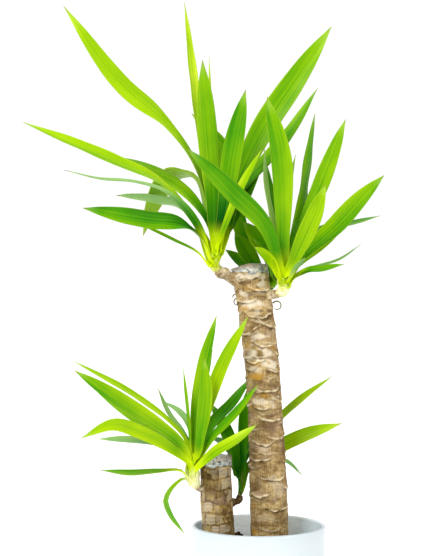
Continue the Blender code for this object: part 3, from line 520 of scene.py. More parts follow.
# %% Leaf rows
LEAVES = {
    "crown_upper_left": [
        ([(-12, 78, -4), (-33, 156, -12), (-75, 217, -22), (-141, 276, -38), (-231, 397, -60)],
         27, (66, 12, 0.42, 0.66), 0, "lime"),
        ([(-21, 50, 8), (-42, 84, 14), (-85, 131, 24), (-157, 166, 36), (-292, 222, 52)],
         22, (64, 42, 0.3, 0.6), 0, "lime"),
        ([(-16, 72, 14), (-40, 109, 24), (-82, 140, 44), (-157, 171, 72)], 22, (60, 32), 0, "fresh"),
        ([(-14, 32, -6), (-33, 72, -8), (-78, 117, -14), (-121, 131, -20), (-175, 136, -24),
          (-229, 150, -26)],
         21, (10, 79), 0, "silver"),
        ([(-25, 57, 20), (-58, 96, 46), (-100, 105, 84), (-151, 112, 130)], 26, (60, 122), 0, "silver"),
        ([(-12, 20, -14), (-27, 50, -26), (-48, 66, -38), (-105, 75, -62), (-202, 93, -90)],
         27, (84, 20, 0.26, 0.46), 0, "deep"),
        ([(-10, 6, -12), (-27, 25, -20), (-66, 46, -32), (-136, 79, -46)], 5, (20, 20), 0, "fresh"),
        ([(-18, 82, 34), (-37, 139, 66), (-69, 140, 96), (-97, 92, 114), (-111, 51, 120)],
         38, (96, 155, 0.5, 0.75), 0, "lime"),
        ([(-6, 57, -8), (-8, 112, -14), (-14, 190, -18), (-22, 316, -12)], 30, (15, 12), 155, "fresh"),
        ([(-9, 76, 8), (-18, 150, 16), (-31, 245, 26), (-49, 402, 42)], 21, (50, 50), 0, "yellow"),
        ([(-5, 112, 2), (-9, 190, 3), (-12, 322, 4)], 9, (50, 50), 0, "yellow"),
        ([(6, 60, -10), (12, 97, -22), (24, 180, -34), (43, 271, -34)], 30, (12, 12), 190, "mid"),
        ([(12, 60, 4), (33, 134, 10), (69, 211, 22), (117, 284, 38), (172, 366, 60)],
         37, (15, 10), 0, "fresh"),
        ([(10, 60, -28), (34, 120, -48), (67, 181, -58)], 14, (35, 35), 0, "lime"),
        ([(22, 72, 28), (46, 124, 50), (69, 172, 72)], 26, (28, 28), 0, "dark"),
        ([(14, 56, 22), (36, 120, 46), (75, 166, 68), (102, 197, 86), (151, 273, 115)],
         22, (40, 30), 0, "mid"),
    ],
    "crown_upper_right": [
        ([(-10, 50, -26), (-22, 88, -42), (-79, 151, -80), (-144, 214, -110)], 28, (15, 12), 0, "mid"),
        ([(0, 50, -14), (0, 106, -26), (-3, 199, -36), (-24, 292, -30)], 31, (10, 10), 150, "fresh"),
        ([(12, 48, 8), (24, 91, 18), (37, 174, 30), (48, 267, 38)], 34, (10, 68), 0, "mid"),
        ([(14, 50, 0), (33, 100, -4), (64, 176, -10), (94, 258, -12)], 26, (20, 20), 165, "fresh"),
        ([(9, 30, -18), (24, 62, -36), (46, 110, -66), (64, 159, -92)], 27, (15, 15), 0, "lime"),
        ([(10, 25, -10), (28, 50, -16), (82, 101, -32), (114, 136, -42), (152, 174, -54)],
         28, (40, 12), 140, "fresh"),
        ([(10, 38, 10), (28, 68, 26), (54, 90, 40), (103, 101, 64), (146, 113, 90)],
         20, (60, 64), 0, "mid"),
        ([(8, 4, -10), (16, 18, -20), (36, 30, -38), (61, 33, -62), (91, 40, -84)],
         17, (70, 55), 0, "mid"),
        ([(12, 20, 4), (40, 34, 8), (85, 48, 8), (117, 70, 6)], 4.5, (30, 30), 0, "silver"),
        ([(-6, 20, -14), (-14, 39, -26), (-28, 55, -46), (-43, 66, -66)], 16, (25, 25), 0, "lime"),
        ([(-8, 30, -4), (-19, 55, -8), (-31, 67, -16), (-45, 78, -28)], 8, (35, 35), 0, "mid"),
        ([(8, 12, -14), (14, 22, -28), (22, 36, -46), (33, 50, -66)], 17, (118, 118), 0, "silver"),
        ([(3, 60, 4), (6, 114, 6), (10, 165, 8), (19, 205, 10)], 11, (35, 35), 0, "pale"),
        ([(-6, 50, 6), (-16, 103, 12), (-27, 159, 17), (-28, 217, 20)], 22, (58, 70), 0, "pale"),
        ([(-5, 50, 14), (-12, 99, 30), (-19, 144, 44), (-25, 193, 56)], 20, (50, 50), 0, "dark"),
    ],
    "crown_upper_back": [
        ([(-15, 20, 10), (-31, 46, 14), (-46, 82, 18), (-60, 130, 24), (-75, 205, 30), (-121, 261, 34)],
         32, (20, 20), 0, "deep"),
        ([(-20, 26, 18), (-43, 36, 22), (-70, 56, 18)], 24, (40, 40), 0, "dark"),
        ([(-3, 37, -6), (-21, 70, -14), (-43, 98, -20)], 26, (30, 20), 0, "deep"),
        ([(-14, 20, 6), (-35, 47, 6), (-56, 82, 7)], 28, (25, 25), 0, "deep"),
        ([(-14, 24, 16), (-29, 20, 24), (-41, -16, 32), (-49, -61, 34)], 15, (30, 30), 0, "dark"),
        ([(8, 62, 30), (4, 112, 66), (-8, 160, 104)], 24, (30, 30), 0, "dark"),
        ([(14, 48, 44), (18, 84, 96), (16, 98, 150)], 24, (55, 55), 0, "dark"),
        ([(-10, 42, 46), (-18, 72, 100), (-32, 78, 150)], 22, (50, 50), 0, "dark"),
        ([(-14, 22, 40), (-26, 16, 84), (-30, -20, 120)], 20, (60, 60), 0, "dark"),
    ],
    "crown_lower_left": [
        ([(-8, 45, 4), (-18, 73, 10), (-40, 98, 18), (-80, 129, 28), (-186, 190, 44)],
         14, (52, 50), 0, "lime"),
        ([(-11, 44, -6), (-30, 72, -14), (-56, 92, -22), (-114, 130, -36), (-183, 175, -50)],
         23, (20, 12), 160, "fresh"),
        ([(-10, 34, -14), (-31, 52, -30), (-87, 83, -62), (-121, 93, -78), (-173, 73, -96)],
         21, (30, 18), 0, "lime"),
        ([(-12, 38, 4), (-50, 63, 12), (-99, 70, 24), (-148, 72, 36)], 18, (40, 52), 0, "silver"),
        ([(-10, 44, 8), (-36, 70, 30), (-66, 85, 66), (-97, 94, 98)], 18, (40, 40), 0, "fresh"),
        ([(-10, 14, -6), (-20, 22, -10), (-54, 23, -16), (-99, 20, -26), (-144, 25, -38)],
         18, (82, 60), 0, "fresh"),
        ([(-10, 13, -6), (-20, 13, -10), (-31, 5, -15), (-42, -9, -20), (-46, -20, -23), (-41, -37, -25),
          (-17, -71, -26)],
         8.5, (30, 20), 0, "hanging"),
        ([(-6, 48, 14), (-21, 82, 36), (-42, 111, 60), (-58, 150, 80)], 16, (62, 62), 0, "silver"),
        ([(-2, 48, 16), (-9, 85, 44), (-27, 114, 86), (-51, 129, 118)], 17, (55, 55), 0, "silver"),
        ([(-9, 82, 4), (-13, 127, 8), (-19, 178, 14)], 8, (50, 50), 0, "fresh"),
        ([(-4, 60, 8), (-1, 108, 18), (10, 176, 26), (31, 258, 22)], 20, (25, 25), 120, "fresh"),
        ([(2, 48, -8), (8, 82, -16), (15, 136, -26), (13, 192, -28)], 22, (20, 20), 140, "fresh"),
        ([(2, 45, -4), (11, 93, -2), (36, 173, -8), (78, 256, -20)], 21, (22, 22), 0, "lime"),
        ([(4, 30, -20), (28, 52, -34), (58, 70, -46), (91, 93, -42)], 18, (30, 30), 0, "lime"),
        ([(4, 40, -6), (25, 74, -14), (60, 111, -26), (93, 153, -32)], 15, (35, 35), 0, "mid"),
        ([(4, 48, 18), (24, 94, 46), (54, 126, 74), (84, 166, 92)], 19, (30, 30), 0, "deep"),
    ],
    "crown_lower_right": [
        ([(-5, 12, 4), (-13, 48, 14), (-27, 84, 26), (-46, 120, 46)], 25, (35, 35), 0, "dark"),
        ([(1, 22, 4), (1, 58, 10), (3, 99, 20), (7, 141, 26)], 18, (15, 15), 110, "dark"),
        ([(-5, 9, 2), (-11, 19, 5), (-17, 28, 7)], 5, (20, 20), 0, "deep"),
        ([(6, 34, 24), (34, 74, 44), (84, 123, 62), (136, 162, 64)], 19, (52, 52), 0, "lime"),
        ([(8, 22, 24), (34, 42, 46), (91, 72, 58), (150, 91, 46)], 23, (18, 18), 0, "lime"),
        ([(8, 16, 26), (30, 27, 54), (66, 34, 78), (91, 12, 80)], 14, (55, 55), 0, "silver"),
        ([(-14, 40, 30), (-30, 62, 70), (-44, 70, 112)], 18, (45, 45), 0, "dark"),
        ([(6, 44, 34), (14, 78, 72), (18, 96, 112)], 18, (40, 40), 0, "dark"),
    ],
}
PARTNER_SIZE = 0.8
FAR_LEAVES = {
    "crown_upper_left": [
        ([(-8, 50, 34), (-20, 88, 92), (-30, 96, 150)], 24, (60, 60), 0, "deep"),
    ],
    "crown_lower_left": [
        ([(-8, 40, 30), (-16, 66, 76), (-20, 70, 120)], 20, (60, 60), 0, "deep"),
    ],
}
print(sum(len(rows) for rows in LEAVES.values()), "leaves are drawn from the plant")

# %% [markdown]
# ## Tones
# Neighbouring leaves of one crown differ a lot in tone, because they differ in age and in how the light
# falls on them. A tone says how light a leaf is, how much painted sheen, a grey-white reflection, it
# shows, how pale its foot is, and how deep the painted shade lies where it leaves its neighbours.

# %% Tones
TONES = {
    "yellow": {"light": 0.9, "silver": 0.0, "pale": 0.8, "inner": 0.0},
    "lime": {"light": 0.76, "silver": 0.0, "pale": 1.0, "inner": 0.6},
    "fresh": {"light": 0.6, "silver": 0.0, "pale": 1.0, "inner": 1.0},
    "pale": {"light": 0.74, "silver": 0.35, "pale": 1.0, "inner": 0.6},
    "silver": {"light": 0.52, "silver": 0.5, "pale": 1.0, "inner": 0.6},
    "mid": {"light": 0.5, "silver": 0.0, "pale": 1.0, "inner": 1.0},
    "hanging": {"light": 0.58, "silver": 0.1, "pale": 0.3, "inner": 0.2},
    "deep": {"light": 0.44, "silver": 0.0, "pale": 1.0, "inner": 1.0},
    "dark": {"light": 0.34, "silver": 0.0, "pale": 1.0, "inner": 0.4},
}
DRY_TIPS = {("crown_upper_left", 2), ("crown_upper_left", 3), ("crown_upper_left", 4)}
print("tones:", ", ".join(TONES))

# %% [markdown]
# ## One midline for each leaf
# Leaves start low on their stem when they are old and droop, and high when they are young and
# stand up. A leaf sets off along the stem's own direction, then passes smoothly through the
# points of its row. The blade is widest just past its middle, and it lies folded like a
# gutter at its foot. These are the same rules that shaped the plain solids, at stations four
# or five times closer together.

# %% Leaf midlines
OUTLINE_PLACES = (0.0, 0.12, 0.22, 0.35, 0.50, 0.65, 0.78, 0.90, 1.0)
OUTLINE_SHARES = (0.60, 0.56, 0.62, 0.80, 0.98, 1.00, 0.84, 0.48, 0.0)
USUAL_TURN_PLACES = (0.1, 0.55)
STATION_SPACING = 8.0
FEWEST_STATIONS = 12
MOST_STATIONS = 48
FOLD_AT_FOOT = 0.6
FOLD_IN_BLADE = 0.2
CLASP = 0.25
outline_share = curve_through(OUTLINE_SHARES, OUTLINE_PLACES)


class Stem:
    """A crown's stem: its middle and radius at each length from its foot."""

    def __init__(self, crown):
        points, radii, _ = CROWNS[crown]
        self.points = [seen_at(*point) for point in points]
        self.upward = (self.points[-1] - self.points[0]).normalized()
        times = chord_times(self.points)
        self.length = times[-1]
        self.middle = curve_through(self.points, times)
        self.radius = curve_through(radii, times)


def leaf_midline(stem, origin, points):
    """The leaf's middle as a function of 0..1, and its length."""
    knots = [seen_at(*(a + b for a, b in zip(origin, point))) for point in points]
    upright = max(0.0, (knots[-1] - stem.points[0]).normalized().dot(stem.upward))
    knots.insert(0, stem.middle((0.25 + 0.5 * upright**3) * stem.length))
    leaving = (stem.upward * 0.4 + (knots[1] - knots[0]).normalized()).normalized()
    times = chord_times(knots)
    along = curve_through(knots, times, leaving)
    return lambda t: along(t * times[-1]), times[-1]


def leaf_stations(crown, row):
    """Place, middle, direction, upper side, half width and fold at each station of a leaf."""
    points, width, turns, _, _ = row
    turn_at_foot, turn_at_tip, turn_from, turn_to = (*turns, *USUAL_TURN_PLACES)[:4]
    stem = Stem(crown)
    along, length = leaf_midline(stem, CROWNS[crown][2], points)
    foot, middle = stem.points[0], along(0.5)
    inward = (foot + stem.upward * (middle - foot).dot(stem.upward) - middle).normalized()
    side = 1 if (middle - along(0.45)).cross(EYE - middle).dot(UP + inward * 0.5) > 0 else -1
    count = min(max(round(length / STATION_SPACING), FEWEST_STATIONS), MOST_STATIONS)
    stations = []
    for i in range(count + 1):
        t = i / count
        here = along(t)
        ahead = (along(min(t + 0.01, 1)) - along(max(t - 0.01, 0))).normalized()
        to_eye = (EYE - here).normalized()
        faced = (to_eye - ahead * ahead.dot(to_eye)).normalized()
        upper = ahead.cross(faced) * side
        turned = smooth((t - turn_from) / (turn_to - turn_from))
        turn = math.radians(turn_at_foot + (turn_at_tip - turn_at_foot) * turned)
        normal = faced * math.cos(turn) + upper * math.sin(turn)
        clasping = (inward - ahead * ahead.dot(inward)).normalized()
        clasping = (clasping * CLASP + normal * (1 - CLASP)).normalized()
        normal = clasping.lerp(normal, smooth(t / 0.25)).normalized()
        half = max(width * outline_share(t), 0.5) / 2
        fold = FOLD_AT_FOOT + (FOLD_IN_BLADE - FOLD_AT_FOOT) * smooth(t / 0.45)
        stations.append((t, here, ahead, normal, half, fold))
    return stations, length


longest = max(leaf_stations(crown, row)[1] for crown in CROWNS for row in LEAVES[crown])
print("the longest leaf is", round(longest), "mm")

# %% [markdown]
# A leaf doesn't end where it leaves the stem. Its base goes on downwards as a thick pale sheath
# that wraps the stem, so each leaf gets a few more stations before its first one. Some leaves
# hide a shorter partner behind them, which only the far side shows.

# %% Leaf bases and partners
BASE_STATIONS = 8
BASE_STEPS = (0.5, 3.5, 7.0)
OUTER_BASE = 0.74
INNER_BASE = 0.4
BASE_WIDTH = 0.72
LEAVES_THE_STEM = 0.17
BASE_STOUTNESS = 2.8


def clasping_base(crown, stations, number):
    """The stations of a leaf's base, its own ones moved outwards to meet it, and its height."""
    stem = Stem(crown)
    _, root, ahead, normal, half, fold = stations[0]
    up_to = (root - stem.points[0]).dot(stem.upward)
    away = stations[len(stations) // 5][1] - root
    away = (away - stem.upward * away.dot(stem.upward)).normalized()
    high = smooth((up_to / stem.length - 0.25) / 0.5)
    spread = OUTER_BASE + (INNER_BASE - OUTER_BASE) * high + 0.03 * (number % 3 - 1)
    first = BASE_STEPS[number % 3]
    base = []
    for i in range(BASE_STATIONS):
        u = i / BASE_STATIONS
        time = first + (up_to - first) * u
        here = stem.middle(time) + away * stem.radius(time) * spread
        leading = stem.upward.lerp(ahead, smooth(u)).normalized()
        facing = (-away).lerp(normal, smooth(u) * 0.7).normalized()
        facing = (facing - leading * facing.dot(leading)).normalized()
        clasp = stem.radius(time) * BASE_WIDTH
        width = clasp + (max(half, clasp) - clasp) * smooth(u)
        base.append((0.0, here, leading, facing, width, 1.0 + (fold - 1.0) * u))
    thick = stem.radius(up_to)
    moved = []
    for t, here, ahead, normal, half, fold in stations:
        share = 1 - smooth(t / LEAVES_THE_STEM)
        half = max(half, thick * BASE_WIDTH * share)
        moved.append((t, here + away * thick * spread * share, ahead, normal, half, fold))
    return base, moved, up_to


def crown_rows(crown):
    """A crown's rows, with the partners and leaves that only its far side shows."""
    rows = LEAVES[crown] + FAR_LEAVES.get(crown, [])
    for points, width, turns, back, tone in LEAVES[crown]:
        if back:
            pace = back / len(points)
            places = [(x, z, pace * (i + 1)) for i, (x, z, _) in enumerate(points)]
            shorter = [(x * PARTNER_SIZE, z * PARTNER_SIZE, depth) for x, z, depth in places]
            rows.append((shorter, width * PARTNER_SIZE, turns, 0, tone))
    return rows


print(sum(len(crown_rows(crown)) for crown in CROWNS), "leaves with the far ones")

# %% [markdown]
# ## Sweeping the blades
# Each leaf could be modelled by hand, or one leaf could be copied and bent. Here a shape
# recipe sweeps one thin cross-section along every midline of a crown at once. The midlines
# carry the facing, width and fold as values on their points, so the recipe only has to put
# each point of the section where those values say.

# %% Blade recipe
def blade_recipe():
    """A ring of points swept along each midline, then spread, sagged and rippled by its marks."""
    inputs = {"Sides": "Int", "Rib Thickness": "Float", "Ripple": "Float", "Finish": "Material"}
    tree, given = new_shape_tree("sweep blades", inputs)
    midlines = step(tree, "GeometryNodeMeshToCurve", {"Mesh": given["Geometry"]})
    sides = given["Sides"]
    section = step(tree, "GeometryNodeCurvePrimitiveCircle", {"Resolution": sides}, mode="RADIUS")
    section = stored(section, "turn", step(tree, "GeometryNodeInputIndex") / sides)
    inputs = {"Curve": midlines, "Profile Curve": section, "Fill Caps": True}
    swept = step(tree, "GeometryNodeCurveToMesh", inputs)
    angle = named(tree, "turn") * (2 * math.pi)
    across = calc("COSINE", angle)
    raised = calc("SINE", angle)
    half = named(tree, "half_width")
    sag = abs(across) ** 1.4 * half * named(tree, "fold")
    rib = raised * given["Rib Thickness"] * named(tree, "stoutness")
    wave = calc("SINE", named(tree, "from_foot") * 95.0 + named(tree, "leaf") * 1.7 + across * 1.3)
    ripple = wave * abs(across) ** 2.0 * given["Ripple"] * (half * 100.0)
    sideways = named(tree, "side_axis", "FLOAT_VECTOR") * (across * half)
    outwards = named(tree, "face_axis", "FLOAT_VECTOR") * (sag + rib + ripple)
    place = named(tree, "middle", "FLOAT_VECTOR") + sideways + outwards
    blades = step(tree, "GeometryNodeSetPosition", {"Geometry": swept, "Position": place})
    blades = stored(blades, "across", across)
    blades = stored(blades, "under", calc("LESS_THAN", raised, -0.05))
    end_shape_tree(step(tree, "GeometryNodeSetShadeSmooth", {0: blades}), given["Finish"])
    return tree


BLADES = blade_recipe()
print("blade recipe has", len(BLADES.nodes), "nodes")

# %% [markdown]
# The midlines go in as a mesh of bare lines. A curve object would do too, but a mesh takes
# values on its points in one call. A leaf is thickest at its base, where it is fleshy.

# %% Midlines as an object
def midline_object(name, leaves):
    """Bare lines, one for each (stations, length, height of base, look)."""
    points, edges, marks = [], [], []
    for number, (stations, length, before, look) in enumerate(leaves):
        lowest = sum(1 for station in stations if station[0] == 0.0) - 1
        for i, (t, here, ahead, normal, half, fold) in enumerate(stations):
            down = (lowest - i) / lowest if before and i < lowest else 0.0
            leaving = 1 - smooth(t / LEAVES_THE_STEM)
            swell = (BASE_STOUTNESS - 1) * (0.45 + 0.55 * down) * leaving if before else 0.0
            if i:
                edges.append((len(points) - 1, len(points)))
            points.append(here)
            marks.append({
                "middle": here * MM,
                "side_axis": normal.cross(ahead).normalized(),
                "face_axis": normal,
                "along": t,
                "from_foot": (before * (1 - down) + t * length) * MM,
                "half_width": half * MM,
                "fold": fold,
                "stoutness": 1 - 0.55 * t + swell,
                "leaf": number + 1.0,
                **look,
            })
    return as_object(name, (points, [], marks), edges=edges)

# %% [markdown]
# The three crowns in the light are cream and pale at the foot of their leaves, each to its own
# height. The two that grow in the shade behind the canes barely are.

# %% Leaves of the five crowns
BARELY_PALE = ("crown_upper_back", "crown_lower_right")
LEAF_SIZES = {"Sides": 14, "Rib Thickness": 0.75 * MM, "Ripple": 0.4 * MM}
for crown, finish, cream, inner, bright in (
    ("crown_upper_left", upper_leaf, 0.003, 1.1, 1.0),
    ("crown_upper_right", upper_leaf, 0.018, 0.45, 0.96),
    ("crown_upper_back", upper_leaf, 0.0005, 0.6, 1.22),
    ("crown_lower_left", lower_leaf, 0.030, 0.3, 0.95),
    ("crown_lower_right", lower_leaf, 0.0005, 0.6, 0.94),
):
    leaves = []
    for number, row in enumerate(crown_rows(crown)):
        look = {**TONES[row[4]], "cream": cream}
        look["inner"] *= inner
        look["light"] *= bright
        look["pale"] *= 0.0 if crown in BARELY_PALE else 1.0
        look["dry"] = 1.0 if (crown, number) in DRY_TIPS else 0.25
        stations, length = leaf_stations(crown, row)
        base, stations, before = clasping_base(crown, stations, number)
        leaves.append((base + stations, length, before, look))
    blades = midline_object(crown.replace("crown", "leaves"), leaves)
    grow(blades, BLADES, {**LEAF_SIZES, "Finish": finish})
    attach(blades, "root")
    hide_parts(crown)
    "upper_leaf" if "upper" in crown else "lower_leaf"

# %% [markdown]
# ## The leafy feet
# Under the leaves a crown is a stout little column of leaf bases wrapped round each other. A
# plain tube would look like a candle, so its rings swell and shrink where one base overlaps
# the next.

# %% Crown feet
STEM_SIDES = 36
STEM_RINGS = 36
WRAPS = 3
WRAP_RISE = 26.0
FOOT_END = 0.8
NARROWS_FROM = 0.52


def foot_finish():
    """Lime and pale green, cream where the crown has it, with brown stains at the very foot."""
    finish = Finish("leaf_bases", 0.45, 0.2)
    foot = finish.mark("from_foot")
    streaks = finish.grain((500.0, 500.0, 40.0), 2.0)
    stops = ((0.0, (216, 230, 44)), (0.5, (204, 226, 12)), (1.0, (150, 196, 4)))
    base = layered(
        ramp(between(foot, 0.0, 0.05), *stops),
        (between(foot, 0.036, 0.018) * finish.mark("cream"), (252, 249, 196)),
        (between(streaks, 0.5, 0.7) * 0.5, (176, 200, 40)),
        # Painted shade along the edge where one leaf base overlaps the next.
        (finish.mark("seam") * 0.55, (146, 164, 40)),
        (between(foot, 0.007, 0.0) * between(streaks, 0.3, 0.6), (176, 136, 88)),
        (finish.mark("shade"), (28, 84, 4)),
    )
    return finish.end(base, streaks, 0.0006, 0.5)


def foot_shape(crown, girth, cream, shade):
    """A column of wrapped leaf bases from the stub up to where the leaves part."""
    stem = Stem(crown)
    rings = []
    for i in range(STEM_RINGS + 1):
        time = FOOT_END * stem.length * i / STEM_RINGS
        here = stem.middle(time)
        rise = stem.middle(min(time + 1, stem.length)) - stem.middle(max(time - 1, 0))
        opened = smooth(time / 5) if i else 0.9
        narrowed = 1 - 0.6 * smooth((time / stem.length - NARROWS_FROM) / 0.28)
        thick = stem.radius(time) * (0.9 + 0.1 * opened) * girth * narrowed
        ring = []
        for k, point in enumerate(ring_about(here, rise.normalized(), 1.0, STEM_SIDES)):
            wrap = (k / STEM_SIDES * WRAPS + time / WRAP_RISE) % 1.0
            marks = {"from_foot": time * MM, "cream": cream, "shade": shade}
            # This mark paints shade along the edge where one base overlaps the next.
            marks["seam"] = bump(min(wrap, 1 - wrap), 0.07)
            ring.append((here + (point - here) * thick * (0.93 + 0.1 * wrap), marks))
        rings.append(ring)
    return skin(rings)


leaf_bases = foot_finish()
for crown, girth, cream, shade in (
    ("crown_upper_left", 0.82, 0.25, 0.0),
    ("crown_upper_right", 0.9, 1.0, 0.0),
    ("crown_upper_back", 0.6, 0.0, 0.9),
    ("crown_lower_left", 1.0, 1.0, 0.0),
    ("crown_lower_right", 0.5, 0.0, 0.9),
):
    shape = foot_shape(crown, girth, cream, shade)
    foot = as_object(crown.replace("crown", "foot"), shape, leaf_bases)
    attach(foot, "root")
    "upper_leaf" if "upper" in crown else "lower_leaf"

# %% [markdown]
# ## Bark
# A yucca cane keeps a shallow, smile-shaped ridge wherever a leaf has fallen. Round the ridges
# the cork is tan, with ochre and taupe patches and fine upright fibres. The ridges are real
# shape here, because they show on the outline. Fibres and patches are in the finish.

# %% Bark finish
def bark_finish(name, stops, lip, crack):
    finish = Finish(name, 0.88, 0.15)
    patches = finish.grain((38.0, 38.0, 70.0), 5.0, 0.62)
    fibres = finish.grain((520.0, 520.0, 60.0), 4.0, 0.65)
    layers = finish.grain((90.0, 90.0, 520.0), 5.0, 0.65)
    threads = finish.grain((900.0, 900.0, 45.0), 3.0, 0.7)
    low = between(finish.place_along("Z"), 0.46, 0.28)
    value = patches * 1.5 + fibres * 0.5 + layers * 0.75 + (threads - 0.5) * 1.2
    taupe = between(finish.grain((30.0, 30.0, 52.0), 3.0), 0.5, 0.66)
    ragged = fibres + layers
    base = layered(
        ramp(value - (low * 0.1 + 0.875), *stops),
        (taupe * 0.4, (160, 136, 118)),
        # The dark mark is dark bark. It also carries painted shade in one strip down the tall cane's
        # left edge and over the short cane's top left.
        (finish.mark("dark") * between(ragged, 0.4, 1.15), (88, 64, 36)),
        (finish.mark("cream") * between(ragged, 0.2, 0.95), (224, 211, 186)),
        (finish.mark("ochre") * between(ragged, 0.45, 1.2), (178, 132, 40)),
        # On the tall cane, the groove colour is painted shadow under each scar's lip, and the scar
        # colour is the lip's own pale with a painted highlight. On the short cane and the stubs, the
        # groove colour marks cracks and the scar colour pale flecks and scales.
        (finish.mark("groove") * 0.8, crack),
        (finish.mark("scar") * 0.95, lip),
    )
    return finish.end(base, fibres * 0.8 + layers, 0.002, 0.7)


# The last two colours are for the scar lips, which carry a painted highlight on the tall cane, and for
# the grooves: painted shadow under the lips on the tall cane, and cracks on the short one.
tall_bark = bark_finish("tall_cane_bark", [
    (0.0, (88, 66, 38)),
    (0.28, (126, 100, 60)),
    (0.5, (162, 136, 88)),
    (0.72, (192, 168, 120)),
    (1.0, (222, 202, 158)),
], (236, 220, 182), (80, 58, 30))
short_bark = bark_finish("short_cane_bark", [
    (0.0, (64, 48, 26)),
    (0.3, (102, 80, 38)),
    (0.52, (142, 117, 56)),
    (0.75, (171, 145, 74)),
    (1.0, (195, 173, 102)),
], (184, 158, 104), (54, 38, 18))
print("bark finishes:", tall_bark.name, short_bark.name)

# %% [markdown]
# ## The canes
# Each cane is given as rows of (height, across, depth, thickness), from its foot in the soil
# up. The wax over its cut is 1.3 mm thick, and pieces that touch keep 0.3 mm between them, as
# the plain solids do.

# %% Cane sizes
GAP = 0.3
WAX = 1.3
TALL_CANE = [
    (70, 19.5, 8, 55.6), (148, 17.3, 8, 56.4), (220, 15.3, 8, 56.0), (321, 11.4, 8, 52.8),
    (415, 5.9, 8, 51.0), (504, -4.1, 8, 52.6), (577.5, -14.5, 8, 53.0),
]
SHORT_CANE = [
    (70, -58.5, -2, 47.4), (183, -61.0, -2, 48.2), (232, -63.5, -2, 47.6), (290, -64.8, -2, 46.0),
]
TALL_WAX_LINE = 563.5
SHORT_WAX_LINE = 275.0


def cane_axis(rows):
    """A function of height that gives the cane's middle and its radius."""
    knots = [Vector((across, depth, diameter / 2)) for _, across, depth, diameter in rows]
    along = curve_through(knots, [row[0] for row in rows])

    def place(height):
        across, depth, radius = along(height)
        return Vector((across, depth, height)), radius

    return place


tall_axis = cane_axis(TALL_CANE)
print("tall cane's middle at the cut:", tall_axis(TALL_WAX_LINE)[0])

# %% [markdown]
# ## Leaf scars
# The scars in front are given as they are seen: height, degrees round from the front, half
# their span in degrees, and how far their ends rise. The far side has the same ones, turned
# and lifted a little. Fainter ones fill in between, each turned from the last by the angle
# at which the leaves of many plants follow each other.

# %% Scars of the tall cane
FRONT_SCARS = [
    (208, 25, 50, 8), (228, -35, 40, 6), (253, 15, 50, 7), (282, -30, 45, 6), (307, -15, 45, 7),
    (342, 25, 60, 8), (360, -15, 35, 4), (385, 14, 50, 8), (415, 50, 45, 6), (429, -30, 50, 6),
    (452, 20, 45, 7), (470, -60, 80, 22), (496, 10, 55, 9), (518, -40, 50, 8), (536, 35, 55, 8),
    (554, -10, 50, 7),
]
SCARS_ROUND = ((0, 0), (123, 11), (-121, 19))
SCARS = [
    (low + lift, middle + turn, half, rise, 1.0)
    for low, middle, half, rise in FRONT_SCARS
    for turn, lift in SCARS_ROUND
]
FAINT_SCARS = 54
TURN_OF_NEXT_LEAF = 137.5
FAINTNESS = 0.55
FAINT_FROM = 178
FAINT_SPAN = 385
for i in range(FAINT_SCARS):
    low = FAINT_FROM + FAINT_SPAN * (i / FAINT_SCARS) ** 0.85
    half, rise = 38 + 14 * math.sin(i * 2.1), 5 + 3 * math.sin(i * 1.3)
    SCARS.append((low, TURN_OF_NEXT_LEAF * i % 360, half, rise, FAINTNESS))
print(len(SCARS), "scars")

# %% [markdown]
# Larger patches of cream, ochre and dark bark lie between the scars. One tall dark strip, at (-8, 289),
# is painted shade down the cane's left edge instead. They are rows of (across, up, half width, half
# height, strength), as seen from the front.

# %% Patches of the tall cane
SEEN_PATCHES = {
    "cream": [
        (-13, 558, 27, 4.5, 0.8), (-26, 558, 9, 5, 1.0), (5, 546, 10, 4, 0.8), (8, 535, 16, 4, 0.7),
        (-11, 517, 16, 8, 1.0), (-26, 532, 7, 5, 0.8), (-4, 502, 10, 5, 0.5), (3, 468, 13, 5, 0.9),
        (-8, 444, 9, 8, 1.0), (15, 442, 10, 7, 0.9), (17, 426, 13, 8, 1.0), (-7, 420, 12, 5, 0.6),
        (6, 370, 18, 6, 0.7), (27, 240, 9, 14, 0.3), (8, 300, 10, 5, 0.3), (12, 196, 14, 5, 0.2),
    ],
    "ochre": [
        (-16, 540, 8, 3, 1.0), (-8, 426, 11, 3.5, 0.8), (-8, 409, 14, 4, 1.0), (9, 380, 6, 3, 1.0),
        (-17, 453, 5, 6, 0.8), (21, 451, 5, 6, 0.8), (-7, 214, 6, 3, 0.8), (-6, 176, 5, 4, 0.8),
        (-6, 538, 13, 2.6, 1.0), (18, 523, 8, 2.6, 1.0), (-22, 509, 7, 2.6, 1.0),
        (2, 511, 12, 2.0, 0.7), (-10, 363, 6, 3, 0.8), (21, 520, 7, 3, 0.9), (-12, 500, 8, 3, 0.6),
    ],
    "dark": [
        (-22, 548, 14, 3.4, 1.0), (0, 541, 7, 2.5, 1.0), (4, 552, 16, 2.4, 0.8),
        (-2, 534, 18, 2.4, 0.9), (6, 527, 18, 2.2, 0.9), (14, 494, 8, 4, 0.7), (-24, 560, 4, 3, 0.5),
        (0, 506, 20, 2.2, 0.9), (-14, 531, 6, 2.5, 1.0), (-5, 492, 13, 8, 0.6),
        (-10, 382, 10, 7, 0.8), (9, 397, 22, 7, 0.6), (11, 355, 16, 6, 0.6), (11, 331, 21, 10, 0.7),
        # Painted shade: the strip at (-8, 289) stands for the shadow down the cane's left edge.
        (-8, 289, 7, 22, 0.8), (-5, 241, 7, 7, 0.7), (9, 223, 16, 5, 0.7), (14, 480, 10, 5, 0.6),
    ],
}


def round_the_cane(across, up, half_across, half_up, strength):
    """A patch seen from the front, as a place and a size in degrees round the cane."""
    centre, radius = tall_axis(up)
    middle = math.degrees(math.asin(max(-1.0, min(1.0, (across - centre.x) / radius))))
    return middle, up, math.degrees(half_across / radius), half_up, strength


